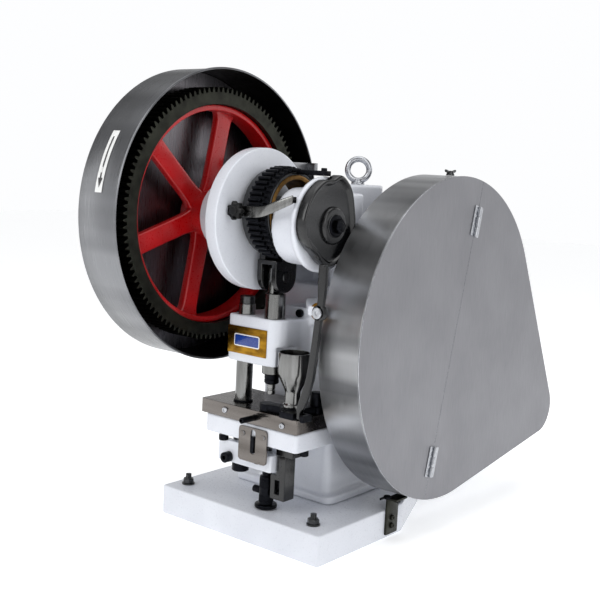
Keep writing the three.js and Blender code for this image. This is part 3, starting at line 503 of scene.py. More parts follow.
def guardOutline():
    # Two overlapping circles, each drawn over the arc that lies outside the other
    reach = math.hypot(counterY - shaftY, counterZ - shaftZ)
    r0, r1 = guard["radius"], guard["pinionRadius"]
    a0 = math.acos((reach ** 2 + r0 ** 2 - r1 ** 2) / (2 * reach * r0))
    a1 = math.acos((reach ** 2 + r1 ** 2 - r0 ** 2) / (2 * reach * r1))
    big = np.linspace(meshTurn + a0, meshTurn + 2 * math.pi - a0, 260)
    small = np.linspace(meshTurn + math.pi + a1, meshTurn + 3 * math.pi - a1, 110)[1:-1]
    return np.concatenate([around(onShaft[1:], r0, big), around(onCounter[1:], r1, small)])


guardPlan = guardOutline()
left, right, sheet, bead = guard["left"], guard["right"], guard["sheet"], guard["bead"]
outerWall = [(-2.2, left), (-0.8, left + 0.4), (0, left + 1.6), (0, right - 4.2)]
rolledLip = [
    (bead * 0.6, right - 3.4), (bead, right - 2.3), (bead * 0.9, right - 1.0), (bead * 0.2, right - 0.1),
    (-0.9, right - 0.1), (-sheet, right - 0.9),
]
innerWall = [(-sheet, right - 5), (-sheet, left + sheet + 0.8), (-sheet - 0.8, left + sheet)]
points, faces = lofted(guardPlan, outerWall + rolledLip + innerWall, "x")
gearGuard = piece("gear_guard_drum", [
    (points, faces),
    boxed((right - 3, right), (-57, 74), (514, 531), 0.5, 1),
    boxed((right - 3.0, right + 14), (66, 74), (514, 531), 0.5, 1),
], "press", [drumSteel, drumInside, drumBack, lidSteel], "stainless_sheet", ["gear_guard"], 40)
marks = np.zeros(len(gearGuard.data.polygons), np.int32)
centres = np.zeros(len(marks) * 3)
normals = np.zeros(len(marks) * 3)
gearGuard.data.polygons.foreach_get("center", centres)
gearGuard.data.polygons.foreach_get("normal", normals)
centres, normals = centres.reshape(-1, 3) / mm, normals.reshape(-1, 3)
toAxis = np.stack([shaftY - centres[:, 1], shaftZ - centres[:, 2]], 1)
toCounter = np.stack([counterY - centres[:, 1], counterZ - centres[:, 2]], 1)
nearCounter = np.linalg.norm(toCounter, axis=1) < guard["pinionRadius"] + 3
inward = np.where(nearCounter, np.sum(toCounter * normals[:, 1:], 1), np.sum(toAxis * normals[:, 1:], 1)) > 5
# 1 is the dark inside wall, 2 the dull sheet behind the wheel with its painted reflection streaks, 3 the outside
# of the back
marks[inward & (centres[:, 0] < right - 1.2)] = 1
marks[(normals[:, 0] > 0.9) & (centres[:, 0] < left + 3)] = 2
marks[(normals[:, 0] < -0.9) & (centres[:, 0] < left + 1)] = 3
gearGuard.data.polygons.foreach_set("material_index", marks)

label = {"radius": 205.6, "from": 148.0, "to": 172.0, "left": -117.0, "right": -104.0}


def wrapped(outline, low, high, soft=0.12):
    # Flat outline (degrees round the guard, x) bent onto the guard: the height becomes radius
    flat, flatFaces = lofted(outline, edges(low, high, soft), "z")
    a = np.radians(flat[:, 0] / label["radius"] * 180 / math.pi)
    radius = label["radius"] + flat[:, 2]
    bent = np.stack([flat[:, 1], shaftY + radius * np.cos(a), shaftZ + radius * np.sin(a)], 1)
    return bent, flatFaces


arc = label["radius"] * math.pi / 180
a0, a1 = label["from"] * arc, label["to"] * arc
longSide = np.linspace(a0, a1, 24)
labelPlan = np.concatenate([
    np.stack([longSide, np.full(24, label["left"])], 1),
    np.stack([longSide[::-1], np.full(24, label["right"])], 1),
])
middle = (label["left"] + label["right"]) / 2
arrowSide = np.linspace(a0 + 9, a1 - 19, 16)
arrowPlan = np.concatenate([
    np.stack([arrowSide, np.full(16, middle - 1.3)], 1),
    [[a1 - 19, middle - 4.2], [a1 - 6, middle], [a1 - 19, middle + 4.2]],
    np.stack([arrowSide[::-1], np.full(16, middle + 1.3)], 1),
])
piece("guard_label_film", [wrapped(labelPlan, 0, 0.5)], "press", labelFilm, "label", ["guard_label"])
piece("guard_arrow", [wrapped(arrowPlan, 0.48, 0.62, 0.05)], "press", labelInk, "label")
print("gear guard made")

# ---- gear wheel and main shaft ----
gear = {"teeth": 118, "tip": 180.0, "root": 173.25, "left": -127.6, "right": -87.6, "bore": 156.0}
toothPlan = toothed((shaftY, shaftZ), gear["teeth"], gear["tip"], gear["root"], 0.22, 0.56, meshTurn)
piece("gear_ring", [
    ringed(toothPlan, (shaftY, shaftZ), gear["bore"], gear["left"], gear["right"], 0.5),
], "main_shaft_group", *castIron, ["gear_rim"], 30)

wheel = {"rim": 155.7, "inside": 147.7, "left": -126.6, "right": -95.6, "hub": 34, "spokes": 6, "turn": -12}
spider = [
    sleeve(wheel["inside"], wheel["rim"], wheel["left"], wheel["right"], onShaft, 1.6, 160),
    sleeve(16.4, wheel["hub"], -134, -84, onShaft, 2.5, 96),
]


def spokeArm():
    # Spoke: a rounded rectangle carried outwards, wider at the hub and at the rim where it is faired in
    height = np.array([24, 34, 40, 52, 80, 120, 136, 143, 148.5])
    half = np.array([17.5, 16.4, 15, 14.2, 14, 14, 14.4, 16, 20])
    rings = []
    for place, wide in zip(height, half):
        plan = oblong(-124, -111, -wide, wide, 3.4, 5)
        rings.append(np.stack([plan[:, 0], plan[:, 1], np.full(len(plan), place)], 1))
    points, faces = joinedRings(np.array(rings))
    return points + np.array([0, shaftY, shaftZ]), faces


for index in range(wheel["spokes"]):
    spider.append(turnedAbout(spokeArm(), (1, 0, 0), onShaft, wheel["turn"] + 60 * index))
piece("gear_wheel_spider", spider, "main_shaft_group", redEnamel, "red_paint", ["gear_spider"], 40)

piece("main_axle", [
    turned([(0, -142), (16, -142), (16, 123), (0, 123)], "x", onShaft, 0.8, steps=64),
    sleeve(16.2, 23, 12, 53, onRing, 0.6, 80),
], "main_shaft_group", *tool, ["main_shaft"])
camShape = np.array([
    [-61, -14], [-65, 2], [-62, 18], [-55, 33], [-44, 46], [-26, 58], [-8, 60], [8, 66], [22, 60],
    [34, 47], [41, 27], [46, -4], [39, -23], [18, -46], [-6, -54], [-24, -47], [-36, -37], [-50, -27],
], float)


def flowing(knots, steps=10):
    # Closed Catmull-Rom curve through the knots
    p0, p1, p2, p3 = (np.roll(knots, s, 0)[:, None, :] for s in (1, 0, -1, -2))
    t = np.linspace(0, 1, steps, endpoint=False)[None, :, None]
    bend, twist = 2 * p0 - 5 * p1 + 4 * p2 - p3, 3 * p1 - p0 - 3 * p2 + p3
    curve = 2 * p1 + (p2 - p0) * t + bend * t ** 2 + twist * t ** 3
    return (curve / 2).reshape(-1, 2)


camPlan = flowing(camShape) + np.array([shaftY, shaftZ])
piece("cam_plate", [
    lofted(camPlan, [(-1.5, 107), (-0.4, 107.4), (0, 108.6), (0, 119), (-0.5, 121), (-1.8, 122), (-4.0, 122),
                     (-5.6, 121), (-6.4, 118.6), (-8.0, 117.2), (-10, 117)], "x"),
    turned([(0, 116), (25, 116), (25, 119.5), (22.5, 122), (0, 122)], "x", onShaft, 1.6, steps=80),
], "main_shaft_group", *gloss, ["feed_cam"], 50)
piece("cam_bolt", [
    turned([(0, 121.6), (14.5, 121.6), (15, 122.2), (15, 124.2), (13.6, 125), (0, 125)], "x", onShaft,
        0.4, steps=64),
    lofted(hexagon((shaftY, shaftZ), 17, 12), [(-0.8, 124.8), (0, 125.4), (0, 131), (-1.1, 132)], "x"),
    turned([(0, 131.8), (5.5, 131.8), (5.5, 132), (4.2, 133.2), (0, 133.4)], "x", onShaft, 0.3, steps=32),
], "main_shaft_group", *oxide)
print("gear wheel and cam made")

# ---- connecting rod, ring and ram ----
piece("bronze_bush", [turned([
    (46, 10), (52, 10), (52, 53), (50.6, 53.4), (47, 53.4), (46, 53),
], "x", onRing, 0.5, True, 120)], "ram_group", bronze, "bronze", ["eccentric_bush"])
ring = {"teeth": 44, "bore": 56.4}
piece("adjusting_ring_pair", [
    ringed(toothed(onRing[1:], ring["teeth"], 63.5, 59.8, 0.34, 0.66), onRing[1:], ring["bore"], 20,
        41.4, 0.6),
    sleeve(ring["bore"], 59.2, 41, 45, onRing, 0, 120),
    ringed(toothed(onRing[1:], ring["teeth"], 61.4, 58.6, 0.34, 0.66, 0.03), onRing[1:], ring["bore"],
        44.4, 52.6, 0.6),
], "adjuster", blackOxide, "black_paint", ["adjusting_ring"], 30)
dressed("connecting_rod", "connecting_rod_casting", "ram_group", *gloss, 0.9)
piece("clevis_pin", [turned([(0, 7.6), (6.2, 7.6), (7, 8.6), (7, 42.4), (6.2, 43.4), (0, 43.4)], "x",
    (0, shaftY, 373.6), 0.2, steps=40)], "ram_group", *tool, ["wrist_pin"])
ram = {"radius": 14.2, "low": 237.2, "high": 350.3, "edge": 1}
ramProfile = [
    (0, ram["low"]), (ram["radius"] - ram["edge"], ram["low"]),
    (ram["radius"], ram["low"] + ram["edge"]), (ram["radius"], ram["high"] - ram["edge"]),
    (ram["radius"] - ram["edge"], ram["high"]), (0, ram["high"]),
]
piece("ram_bar", [
    turned(ramProfile, "z", onRam, 0.2, steps=72),
    boxed((19.9, 29.9), (-124.9, -100.9), (348, 385.6), 1.2, 2.0),
], "ram_group", *bright, ["ram"])
piece("punch_clamp_nut", [turned([
    (0, 222.9), (8.4, 222.9), (10.3, 224.9), (10.3, 229), (9.7, 229.4), (9.7, 230.2), (10.3, 230.6),
    (10.3, 236.9), (0, 236.9),
], "z", onRam, 0.3, steps=56)], "ram_group", *oxide, ["punch_nut"])
piece("punch_upper", [turned([
    (0, 208.2), (5.3, 208.2), (5.7, 208.6), (5.7, 214), (5.1, 214.6), (5.1, 216), (5.7, 216.6),
    (5.7, 222.6), (0, 222.6),
], "z", onRam, 0.1, steps=48)], "ram_group", *bright, ["upper_punch"])
print("ram line made")

# ---- table ----
dressed("die_plate", "table_plate", "press", plateSteel, "polished_steel", 0.5)
piece("die_insert", [turned([
    (6.05, 169.3), (14, 169.3), (14, 189.1), (13.6, 189.4), (7, 189.4), (6.05, 188.6),
], "z", onRam, 0.1, True, 72)], "press", brightSteel, "tool_steel", ["die"])
lockAt = (ramX, 0, 179.4)
piece("die_lock_bolt", [
    turned([(0, -127.2), (2.6, -127.2), (4, -129), (4, -151), (0, -151)], "y", lockAt, 0.1, steps=40),
    turned([(2.2, -173.3), (3.4, -173.3), (4.1, -172.4), (4.1, -150), (0, -150), (0, -168), (2.2, -168)],
        "y", lockAt, 0.15, steps=48),
], "die_lock", *oxide, ["die_lock_screw"])
for side, x, z in (("left", -31.5, 179.5), ("right", 74, 177.5)):
    piece("table_screw_" + side, [turned([
        (0, -139), (3, -139), (3, -145.1), (4.4, -145.1), (4.4, -145.7), (3.6, -147.2), (1.9, -147.5),
        (1.9, -146.2), (0, -146.2),
    ], "y", (x, 0, z), 0.25, steps=40)], "press", *zinc, ["plate_screw_" + side])

anchors = {
    "front_left": (-125, -118), "front_right": (115, -118), "back_left": (-100, 112), "back_right": (100, 112),
}
for spot, (x, y) in anchors.items():
    at = (x, y, 0)
    piece("anchor_" + spot, [
        sleeve(4.4, 9.5, 43.7, 45.7, at, 0.3, 56, "z"),
        lofted(hexagon((x, y), 14.6, 20), [(-0.9, 45.7), (0, 46.5), (0, 51.8), (-1.1, 52.8)], "z"),
        threaded("z", at, 4.4, 46, 59.2, 1.25),
        turned([(0, 58.9), (3.9, 58.9), (3.0, 59.6), (0, 59.6)], "z", at, 0.1, steps=24),
    ], "press", *tool, ["foot_bolt_" + spot])

plate = {"left": -43.5, "right": 28.5, "low": 261, "high": 299.5, "front": -132.1, "back": -131.3}
platePlan = oblong(plate["left"], plate["right"], plate["low"], plate["high"], 1.2)
piece("plain_nameplate", [lofted(platePlan, edges(plate["front"], plate["back"], 0.2), "y")], "press",
    giltPlate, "gilt_plate", ["nameplate"])
panel = oblong(-31, 16, 271.5, 289, 3)
piece("nameplate_border", [lofted(panel, edges(-132.35, -132.0, 0.1), "y")], "press", labelFilm, "label")
piece("nameplate_panel", [lofted(moved(panel, -1.6), edges(-132.5, -132.3, 0.08), "y")], "press",
    blueEnamel, "label")

eye = {"x": 45, "y": 37, "z": 524, "turn": 38.8, "ring": 15.6, "wire": 4.4}
sweep = np.linspace(0, 2 * math.pi, 28, endpoint=False)
eyeWay = math.radians(eye["turn"])
eyeAxes = [[-math.sin(eyeWay), math.cos(eyeWay), 0], [math.cos(eyeWay), math.sin(eyeWay), 0], [0, 0, 1]]
wire = np.stack([eye["ring"] + eye["wire"] * np.cos(sweep), eye["wire"] * np.sin(sweep)], 1)
piece("lifting_eye", [
    turned(wire, eyeAxes, (eye["x"], eye["y"], eye["z"]), 0, True, 88),
    turned([(0, 503.4), (10, 503.4), (10, 505.4), (7, 506.6), (6.2, 508.5), (6.6, 511), (0, 511)], "z",
        (eye["x"], eye["y"], 0), 0.6, steps=56),
], "press", *zinc, ["eye_bolt"])
print("table and base hardware made")

# ---- feeder ----
piece("feed_hopper", [turned([
    (0, 199.9), (13, 199.9), (13, 203.9), (10.5, 205.6), (10.5, 221.5), (12.6, 226), (18.4, 238),
    (22, 246.5), (22, 275.2), (21.6, 275.5), (20.5, 275.5), (20.2, 275.2), (20.2, 247.5), (8.6, 223),
    (8.6, 203), (0, 203),
], "z", hopperAt, [0, 0.5, 0.5, 2, 2, 4, 6, 4, 0.2, 0.2, 0.2, 0.2, 3, 1, 0.3, 0], steps=112)],
    "shoe_group", *bright, ["hopper"])
dressed("feed_shoe", "feed_shoe_body", "shoe_group", *oxide, 0.6)
piece("shoe_post", [
    turned([(0, 189.6), (6, 189.6), (6, 200), (9, 200), (9, 218), (8.2, 219), (0, 219)], "z",
        (88, -90, 0), 0.5, steps=56),
], "press", *oxide, ["shoe_pivot_post"])
lever = {"left": [123.2, 123.2, 123, 124.5, 122, 121, 117, 111.5, 102, 97.5, 98.5, 98.5],
         "right": [134, 135, 135, 133.5, 131, 130, 126.5, 122, 113.5, 107.5, 104.5, 104.5],
         "z": [402, 390, 375, 357, 338, 329, 288, 248, 219, 205, 201, 192]}
leverSides = [np.stack([lever[side], lever["z"]], 1) for side in ("left", "right")]
leverPlan = np.concatenate([leverSides[0], leverSides[1][::-1]])
leverBoss = sleeve(4.9, 10.4, -147, -139, (126.5, 0, 338), 0.8, 64, "y")
piece("feed_lever_arm", [
    lofted(softened(leverPlan, 4, steps=5), edges(-147, -139, 1.6, 4), "y"), leverBoss,
], "lever_group", *gloss, ["feed_lever"], 46)
piece("lever_pivot", [
    turned([(0, -134), (4.4, -134), (4.4, -148), (7.5, -148), (7.5, -150.4), (6.6, -151), (2.4, -151),
        (2.4, -149.6), (0, -149.6)],
        "y", (126.5, 0, 338), 0.25, steps=48),
], "press", *zinc, ["lever_pin"])

# ---- lift ----
piece("lift_bar", [turned([
    (0, 101), (10.9, 101), (11.9, 102), (11.9, 329), (10.9, 330), (0, 330),
], "z", onLift, 0.2, steps=72)], "lift_group", *bright, ["lift_rod"])
piece("lift_cap", [turned([(0, 330.3), (10.5, 330.3), (10.5, 340), (9.6, 341), (0, 341)], "z", onLift,
    0.2, steps=56)], "lift_group", *tool, ["lift_rod_cap"])
piece("lift_gland", [turned([(12.15, 189.6), (13.8, 189.6), (13.8, 191.2), (13.2, 191.7),
    (12.15, 191.7)], "z", onLift, 0.1, True, 64)], "press", *oxide, ["rod_gland"])
dressed("lift_fork", "lift_yoke", "lift_group", *cream, 1.1)
piece("yoke_screw", [
    turned([(0, -135.3), (7.5, -135.3), (7.5, -146), (6.4, -146.4), (3.2, -146.4), (3.2, -142),
        (0, -142)], "y", (-28.5, 0, 111), 0.4, steps=48),
], "lift_knob", *oxide, ["fork_knob"])
piece("lift_lock_nut", [
    lofted(circle(12.3, (liftX, shaftY), 64), [(-1.2, 87), (0, 88), (0, 100), (-0.3, 100.7)], "z"),
], "lift_group", *oxide, ["lift_rod_nut"])
piece("punch_lower", [turned([(0, 127.3), (5.7, 127.3), (5.7, 180), (5.4, 180.3), (0, 180.3)], "z",
    onRam, 0.1, steps=48)], "lift_group", *bright, ["lower_punch"])
knurl = toothed((ramX, shaftY), 40, 10.4, 9.7, 0.25, 0.55)
piece("fill_spindle", [
    turned([(0, 45), (15.2, 45), (16, 45.8), (16, 49.4), (15.2, 50.2), (10, 50.8), (10, 90.2), (7, 91.4),
        (7, 102.7), (0, 102.7)],
        "z", onRam, 0.5, steps=72),
    lofted(knurl, edges(53, 64, 0.4), "z"),
    lofted(knurl, edges(74, 89, 0.4), "z"),
    turned([(0, 2), (4.6, 2), (5.2, 2.8), (5.2, 16.5), (0, 16.5)], "x", (0, shaftY, 67), 0.2, steps=36),
], "fill_spindle", *oxide, ["lower_spindle"])
dressed("lower_bracket", "lower_clamp", "press", *gloss, 0.7)
dressed("stop_plate", "stop_plate_sheet", "press", plateSteel, "polished_steel", 0.35)
dressed("stop_key", "stop_key_bar", "lift_group", *oxide, 0.5)
piece("stop_plate_screws", [
    turned([(0, -149.2), (3.4, -149.2), (3.8, -148.4), (3.8, -147.2), (0, -147.2)], "y", (x, 0, z), 0.3,
        steps=36)
    for x, z in ((6.2, 154.4), (43.1, 154.8))
], "press", *zinc)
print("feeder and lift made")

# ---- belt guard ----
hood = {
    "big": 233.9, "nose": 41.5, "left": 122.5, "open": 187.3, "lid": 187.6, "face": 189.1, "lean": 0.2335,
}


def banded(big, small):
    # Outline of a band round two circles: the large arc, the small arc, and the two straight tangents between
    reach = math.hypot(motorY - counterY, motorZ - counterZ)
    heading = math.atan2(motorZ - counterZ, motorY - counterY)
    spread = math.acos((big - small) / reach)
    a = np.linspace(heading + spread, heading + 2 * math.pi - spread, 220)
    b = np.linspace(heading - spread, heading + spread, 60)
    return np.concatenate([around(onCounter[1:], big, a), around(onMotor[1:], small, b)])


def flatFaces(made):
    # True for each face that looks along X, which is a flat sheet and not its rim
    facing = np.zeros(len(made.data.polygons) * 3)
    made.data.polygons.foreach_get("normal", facing)
    return np.abs(facing[::3]) > 0.9


hoodPlan = banded(hood["big"], hood["nose"])
hoodShell = piece("belt_guard_shell", [lofted(hoodPlan, [
    (-2.4, hood["left"]), (-0.8, hood["left"] + 0.5), (0, hood["left"] + 2), (0, 185.6), (0.5, 186.2),
    (0.5, 187.0), (0.0, hood["open"]), (-1.2, hood["open"]), (-1.5, 186.8), (-1.5, hood["left"] + 2.4),
    (-2.4, hood["left"] + 1.5),
], "x")], "press", [hoodSteel, lidSteel], "stainless_sheet", ["belt_guard_housing"], 40)
# The rim keeps the hood finish with its painted reflection bands, and the flat faces take the lid sheet
hoodShell.data.polygons.foreach_set("material_index", flatFaces(hoodShell).astype(np.int32))


def lidHalf(side):
    # The lid's outline on one side of the seam, with the two points where the seam cuts it
    plan = moved(hoodPlan, 0.4)
    offset = side * (plan[:, 0] - counterY - (plan[:, 1] - counterZ) * hood["lean"]) - 0.3
    keep = offset > 0
    start = int(np.flatnonzero(keep & ~np.roll(keep, 1))[0])
    order = np.roll(np.arange(len(plan)), -start)
    inside = order[keep[order]]
    entry, leave = order[-1], (inside[-1] + 1) % len(plan)
    cuts = []
    for one, other in ((inside[0], entry), (inside[-1], leave)):
        share = offset[one] / (offset[one] - offset[other])
        cuts.append(plan[one] + share * (plan[other] - plan[one]))
    return np.concatenate([[cuts[0]], plan[inside], [cuts[1]]])


lidEdge = edges(hood["lid"], hood["face"], 0.45)
for name, side, body, node in (
    ("belt_guard_fixed_lid", -1, "press", "belt_guard_cover"),
    ("belt_guard_door_lid", 1, "guard_door", "belt_guard_door"),
):
    # The rim faces of each lid get the bright zinc finish, a painted highlight along the lid's edge
    lidParts = [lofted(lidHalf(side), lidEdge, "x")]
    sheetLid = piece(name, lidParts, body, [lidSteel, zincSteel], "stainless_sheet", [node], 20)
    sheetLid.data.polygons.foreach_set("material_index", (~flatFaces(sheetLid)).astype(np.int32))
leanBack = math.degrees(math.atan(hood["lean"]))
hinge = {"upper": 458, "lower": 114, "length": 44, "leaf": 11.5, "barrel": 2.6, "pin": 191.9, "gap": 2.2}


def hingeParts(height, side):
    # Leaf on one side of the seam, its screws and its share of the knuckles, leaned with the seam
    half, barrel = hinge["length"] / 2, hinge["barrel"]
    seamPoint = (0, counterY + (height - counterZ) * hood["lean"], height)
    across = sorted((side * hinge["gap"], side * hinge["leaf"]))
    leafPlan = oblong(*across, -half, half, 1.5)
    parts = [lofted(leafPlan, edges(189.25, 190.5, 0.25), "x")]
    screwHead = [(0, 190.2), (2.1, 190.2), (1.8, 191.0), (0.7, 191.1), (0, 190.7)]
    for z in (-16.5, -7.5, 7.5, 16.5):
        parts.append((*turned(screwHead, "x", (0, side * 6.9, z), 0.1, steps=24), 1))
    spans = [(-7.1, 7.1)] if side < 0 else [(-half, -7.6), (7.6, half)]
    for low, high in spans:
        knuckle = [(0, low), (barrel - 0.3, low), (barrel, low + 0.4), (barrel, high - 0.4),
            (barrel - 0.3, high), (0, high)]
        parts.append(turned(knuckle, "z", (hinge["pin"], 0, 0), 0.1, steps=28))
        parts.append(boxed((189.3, 190.5), (min(0.0, side * 3), max(0.0, side * 3)), (low, high), 0.2, 0.3))
    done = []
    for points, faces, *mark in parts:
        leaned = turnedAbout((points, faces), (1, 0, 0), (0, 0, 0), -leanBack)[0]
        done.append((leaned + np.array(seamPoint), faces, *mark))
    return done


for name in ("upper", "lower"):
    piece("fixed_leaf_" + name, hingeParts(hinge[name], -1), "press", [zincSteel, shaftSteel],
        "polished_steel", ["hinge_" + name])
piece("door_leaves", hingeParts(hinge["upper"], 1) + hingeParts(hinge["lower"], 1), "guard_door",
    [zincSteel, shaftSteel], "polished_steel")
strapBolt = [(0, 151.6), (4.4, 151.6), (4.4, 153.4), (3.4, 154.3), (1.8, 154.3), (1.8, 153), (0, 153)]
piece("guard_bracket", [
    lofted(oblong(6, 35, 6, 62.2, 1.5), edges(148.8, 151.8, 0.4), "x"),
    boxed((148.8, 166.8), (6, 35), (59.2, 62.2), 0.4, 1.5),
    *(turned(strapBolt, "x", (0, 20.5, z), 0.2, steps=36) for z in (30, 18)),
], "press", gearSteel, "tool_steel", ["guard_strap"])
piece("guard_bracket_screw", [
    turned([(0, 55), (5, 55), (5, 59), (0, 59)], "z", (158.8, 20.5, 0), 0.4, steps=40),
    boxed((150.6, 153), (-14, 6), (63, 66.5), 0.8, 1.0),
    turned([(0, 62.4), (5.5, 62.4), (5.5, 66), (4, 67.4), (0, 67.4)], "z", (153.5, 2, 0), 0.5, steps=40),
], "press", *oxide)
topZ = counterZ + math.sqrt(hood["big"] ** 2 - (110 - 6 - counterY) ** 2)
wingPlan = [[96, 9.2], [96, 5.6], [106, 3], [114, 3], [124, 5.6], [124, 9.2], [113, 6.6], [107, 6.6]]
piece("guard_wing_nut_top", [
    turned([(0, topZ + 0.3), (6.2, topZ + 0.3), (6, topZ + 2), (4.6, topZ + 5), (4.2, topZ + 7),
        (0, topZ + 7.4)], "z", (155.8, 110, 0), 0.5, steps=48),
    lofted(softened(np.array(wingPlan) + (0, topZ), 2), edges(154.2, 157.4, 0.9, 4), "x"),
], "wing_nut", shaftSteel, "black_oxide", ["guard_wing_nut"])
print("belt guard made")

# ---- ring lock ----
lockY = shaftY - 63.5 - 2
stripPlan = softened([[0, 455], [40, 455], [56, 458], [78, 467], [102, 477], [102, 488], [76, 480],
    [54, 471], [38, 470], [0, 470]],
                     [5, 8, 8, 14, 1, 1, 14, 8, 8, 5], steps=6)
piece("ring_lock_spring", [
    lofted(stripPlan, edges(lockY - 2, lockY, 0.5), "y"),
    boxed((96, 102), (lockY - 1.5, -171.5), (478, 486), 0.5, 0.8),
], "press", *bright, ["lock_strip"])
lobes = np.linspace(0, 2 * math.pi, 160, endpoint=False)
starRadius = 11.2 + 1.7 * np.cos(7 * lobes)
starPlan = around((12.6, 463), starRadius, lobes)
piece("star_grip", [
    lofted(starPlan, edges(lockY - 14, lockY - 5, 2.0, 5), "y"),
    turned([(0, lockY - 15.5), (5.4, lockY - 15.5), (6, lockY - 14.6), (6, lockY - 2.3),
        (0, lockY - 2.3)], "y", (12.6, 0, 463), 0.5, steps=56),
], "ring_lock_knob", knobPlastic, "black_plastic", ["star_knob"])
piece("ring_lock_bar", [
    boxed((55, 106), (shaftY - 6, shaftY + 6), (513.8, 520.5), 0.9, 2),
    turned([(0, 520), (4, 520), (4, 523.4), (3.2, 524.2), (0, 524.2)], "z", (98, shaftY, 0), 0.3, steps=36),
], "press", *oxide, ["lock_bar"])

# ---- countershaft and belt drive, behind the guards ----
piece("counter_axle", [turned([(0, -131.6), (12.5, -131.6), (12.5, 168), (0, 168)], "x", onCounter, 0.8,
    steps=64)], "countershaft_group", *tool, ["countershaft"])
pinionTurn = meshTurn + math.pi + math.pi / 58
piece("pinion_gear", [ringed(
    toothed((counterY, counterZ), 58, 90, 83.25, 0.2, 0.54, pinionTurn), (counterY, counterZ), 12.8,
    -126.6, -88.6, 0.5,
)], "countershaft_group", *castIron, ["pinion"], 30)


def pulleyForm(radius, groove, hubRadius, bore, web):
    # Closed section of a grooved pulley: rim with a groove, thin web and hub, turned round its shaft
    inner = radius - 18 if web else hubRadius
    if not web:
        return [(0, 112.3), (9.5, 112.3), (9.5, 140), (radius, 140), (radius, 145.2),
            (radius - groove, 146.6),
                (radius - groove, 155.4), (radius, 156.8), (radius, 162), (9.5, 162), (9.5, 166), (0, 166)]
    return [(bore, 140), (hubRadius, 140), (hubRadius, 147), (inner, 147), (inner, 140), (radius, 140),
        (radius, 145.2),
            (radius - groove, 146.6), (radius - groove, 155.4), (radius, 156.8), (radius, 162), (inner, 162),
            (inner, 155), (hubRadius, 155), (hubRadius, 162), (bore, 162)]


piece("belt_pulley_big", [turned(pulleyForm(185, 7.5, 30, 12.8, True), "x", onCounter, 0.8, True, 144)],
    "countershaft_group", *castIron, ["big_pulley"])
piece("belt_pulley_small", [turned(pulleyForm(34, 7.5, 0, 0, False), "x", onMotor, 0.4, steps=72)],
    "motor_pulley_group", *castIron, ["motor_pulley"])


def beltBand():
    # The belt's section, narrow side inwards, is carried round the two pulleys
    outer, inner = banded(186, 35), banded(178.2, 27.2)
    rings = [(outer, 146.4), (outer, 155.6), (inner, 154.6), (inner, 147.4)]
    return joinedRings(np.array([
        np.stack([np.full(len(plan), x), plan[:, 0], plan[:, 1]], 1) for plan, x in rings
    ]), True)


piece("drive_belt", [beltBand()], "press", beltRubber, "belt_rubber", ["v_belt"])
fins = {"count": 44, "radius": 62, "root": 57.5, "grille": (14, 21, 28, 35, 42)}
finPlan = toothed((motorY, motorZ), fins["count"], fins["radius"], fins["root"], 0.28, 0.42)
slots = [
    sleeve(r - 1.3, r + 1.3, -85.2, -83.4, onMotor, 0.3, 96)
    for r in fins["grille"]
]
piece("motor_body", [
    lofted(finPlan, edges(-44, 84, 0.6), "x"),
    turned([(0, 111.5), (16, 111.5), (18, 109), (40, 106), (55, 101), (61, 96), (61.5, 84), (0, 84)],
        "x", onMotor, 1.5, steps=96),
    turned([(0, -84), (48, -84), (56, -80), (61, -70), (61.5, -44), (0, -44)], "x", onMotor, 2.5, steps=96),
    *slots,
    boxed((-15, 45), (motorY - 32, motorY + 32), (motorZ + 50, motorZ + 80), 2.5, 4),
    boxed((-17, 47), (motorY - 34, motorY + 34), (motorZ + 78, motorZ + 84), 1.5, 4),
    boxed((-45, 90), (motorY - 45, motorY - 18), (motorZ - 64, motorZ - 50), 1, 3),
    boxed((-45, 90), (motorY + 18, motorY + 45), (motorZ - 64, motorZ - 50), 1, 3),
    boxed((-40, 85), (motorY - 30, motorY + 30), (motorZ - 60, motorZ - 44), 1, 3),
], "press", motorEnamel, "motor_paint", ["motor"])
dressed("motor_bracket", "motor_shelf", "press", *cream, 1.0)
piece("shelf_bolts", [
    part
    for x in (-32, 78) for y in (motorY - 32, motorY + 32)
    for part in (
        turned([(0, 90), (7, 90), (7, 91.6), (0, 91.6)], "z", (x, y, 0), 0.2, steps=36),
        lofted(hexagon((x, y), 11, 10), [(-0.6, 91.4), (0, 92), (0, 96.4), (-0.8, 97.2)], "z"),
    )
], "press", *zinc)
print("drive made")

# ---- room, light and camera ----
room = {"floor": 14.0, "level": -0.0005, "tone": "#f7f8f9", "glow": 0.42, "wall": 1.0}
half = room["floor"] / 2
floorMesh = bpy.data.meshes.new("floor")
corners = [(x * half, y * half, room["level"]) for x, y in ((-1, -1), (1, -1), (1, 1), (-1, 1))]
floorMesh.from_pydata(corners, [], [(0, 1, 2, 3)])
floor = bpy.data.objects.new("floor", floorMesh)
bpy.context.scene.collection.objects.link(floor)
floorPaint = finishOf(
    "matt pale floor", room["tone"], 0.0, 0.8, Specular_IOR_Level=0.1, Emission_Color=(1, 1, 1, 1),
    Emission_Strength=room["glow"],
)[0]
floorMesh.materials.append(floorPaint)

world = bpy.data.worlds.new("studio")
bpy.context.scene.world = world
world.use_nodes = True
sky = world.node_tree
sky.nodes.clear()
direction = add(sky, "TexCoord").outputs["Generated"]
height = add(sky, "SeparateXYZ", {0: direction}).outputs[2]
walls = add(sky, "Mapping", {"Vector": direction, "Scale": (0.5, 0.5, 4.0)})
drift = add(sky, "TexNoise", {"Vector": walls.outputs[0], "Scale": 1.7, "Detail": 0.5})
wavering = add(sky, "MapRange", {"Value": drift.outputs["Fac"], "From Min": 0.3, "From Max": 0.7,
    "To Min": -0.09, "To Max": 0.09})
lifted = add(sky, "Math", {0: height, 1: wavering.outputs[0]}, operation="ADD")
place = add(sky, "MapRange", {"Value": lifted.outputs[0], "From Min": -1.0, "From Max": 1.0})
panels = add(sky, "ValToRGB", {0: place.outputs[0]})
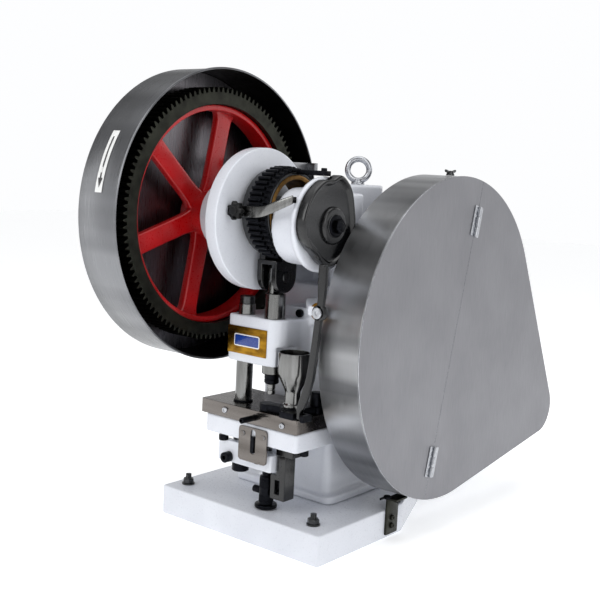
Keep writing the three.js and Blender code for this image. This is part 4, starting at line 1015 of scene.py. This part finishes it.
# Brightness of the room by height: low wall, bright window band at eye level, dark upper wall, pale ceiling
bands = [
    (0.0, 0.4), (0.42, 0.55), (0.47, 1.0), (0.56, 1.0), (0.62, 0.3), (0.8, 0.26), (0.9, 0.85), (1.0, 0.9),
]
stops = panels.color_ramp.elements
while len(stops) < len(bands):
    stops.new(0.5)
for stop, (position, tone) in zip(stops, bands):
    stop.position = position
    stop.color = (tone, tone, tone, 1)
bandLevel = add(sky, "Math", {0: panels.outputs[0], 1: room["wall"]}, operation="MULTIPLY")
camera = add(sky, "LightPath").outputs["Is Camera Ray"]
level = add(sky, "Mix", {0: camera, 2: bandLevel.outputs[0], 3: 1.0})
glow = add(sky, "Background", {"Color": (0.985, 0.99, 1.0, 1), "Strength": level.outputs[0]})
add(sky, "OutputWorld", {"Surface": glow.outputs[0]})


def softBox(name, place, target, size, power):
    lamp = bpy.data.lights.new(name, "AREA")
    lamp.shape = "RECTANGLE"
    lamp.size, lamp.size_y = size
    lamp.energy = power
    made = bpy.data.objects.new(name, lamp)
    made.location = place
    made.rotation_euler = (Vector(target) - Vector(place)).to_track_quat("-Z", "Y").to_euler()
    bpy.context.scene.collection.objects.link(made)


middle = (0.0, 0.05, 0.3)
softBox("key", (-0.5, -1.9, 1.5), middle, (1.0, 1.2), 11)
softBox("fill", (1.7, -0.5, 1.3), middle, (1.0, 1.4), 8)
softBox("top", (0.1, 0.2, 2.3), middle, (1.6, 1.6), 8)
softBox("side", (-2.0, -0.8, 0.55), middle, (0.35, 1.6), 2)
softBox("back", (0.6, 2.2, 1.2), middle, (1.6, 1.0), 6)

view = {"place": (919.1, -1171.4, 523.1), "azimuth": 38.790, "pitch": 7.438, "roll": 2.885, "lens": 60.7728}
az, pitch, roll = (math.radians(view[k]) for k in ("azimuth", "pitch", "roll"))
forward = Vector((-math.sin(az) * math.cos(pitch), math.cos(az) * math.cos(pitch), -math.sin(pitch)))
rightWay = Vector((math.cos(az), math.sin(az), 0))
upWay = rightWay.cross(forward)
leanRight = math.cos(roll) * rightWay + math.sin(roll) * upWay
leanUp = -math.sin(roll) * rightWay + math.cos(roll) * upWay
turn = Matrix((leanRight, leanUp, -forward)).transposed().to_4x4()
lens = bpy.data.cameras.new("camera")
lens.sensor_width = 36
lens.sensor_fit = "HORIZONTAL"
lens.lens = view["lens"]
lens.clip_start, lens.clip_end = 0.05, 50
cameraObject = bpy.data.objects.new("camera", lens)
cameraObject.matrix_world = Matrix.Translation(Vector(view["place"]) * mm) @ turn
bpy.context.scene.collection.objects.link(cameraObject)
bpy.context.scene.camera = cameraObject
bpy.context.scene.view_settings.view_transform = "Standard"
print("room made")
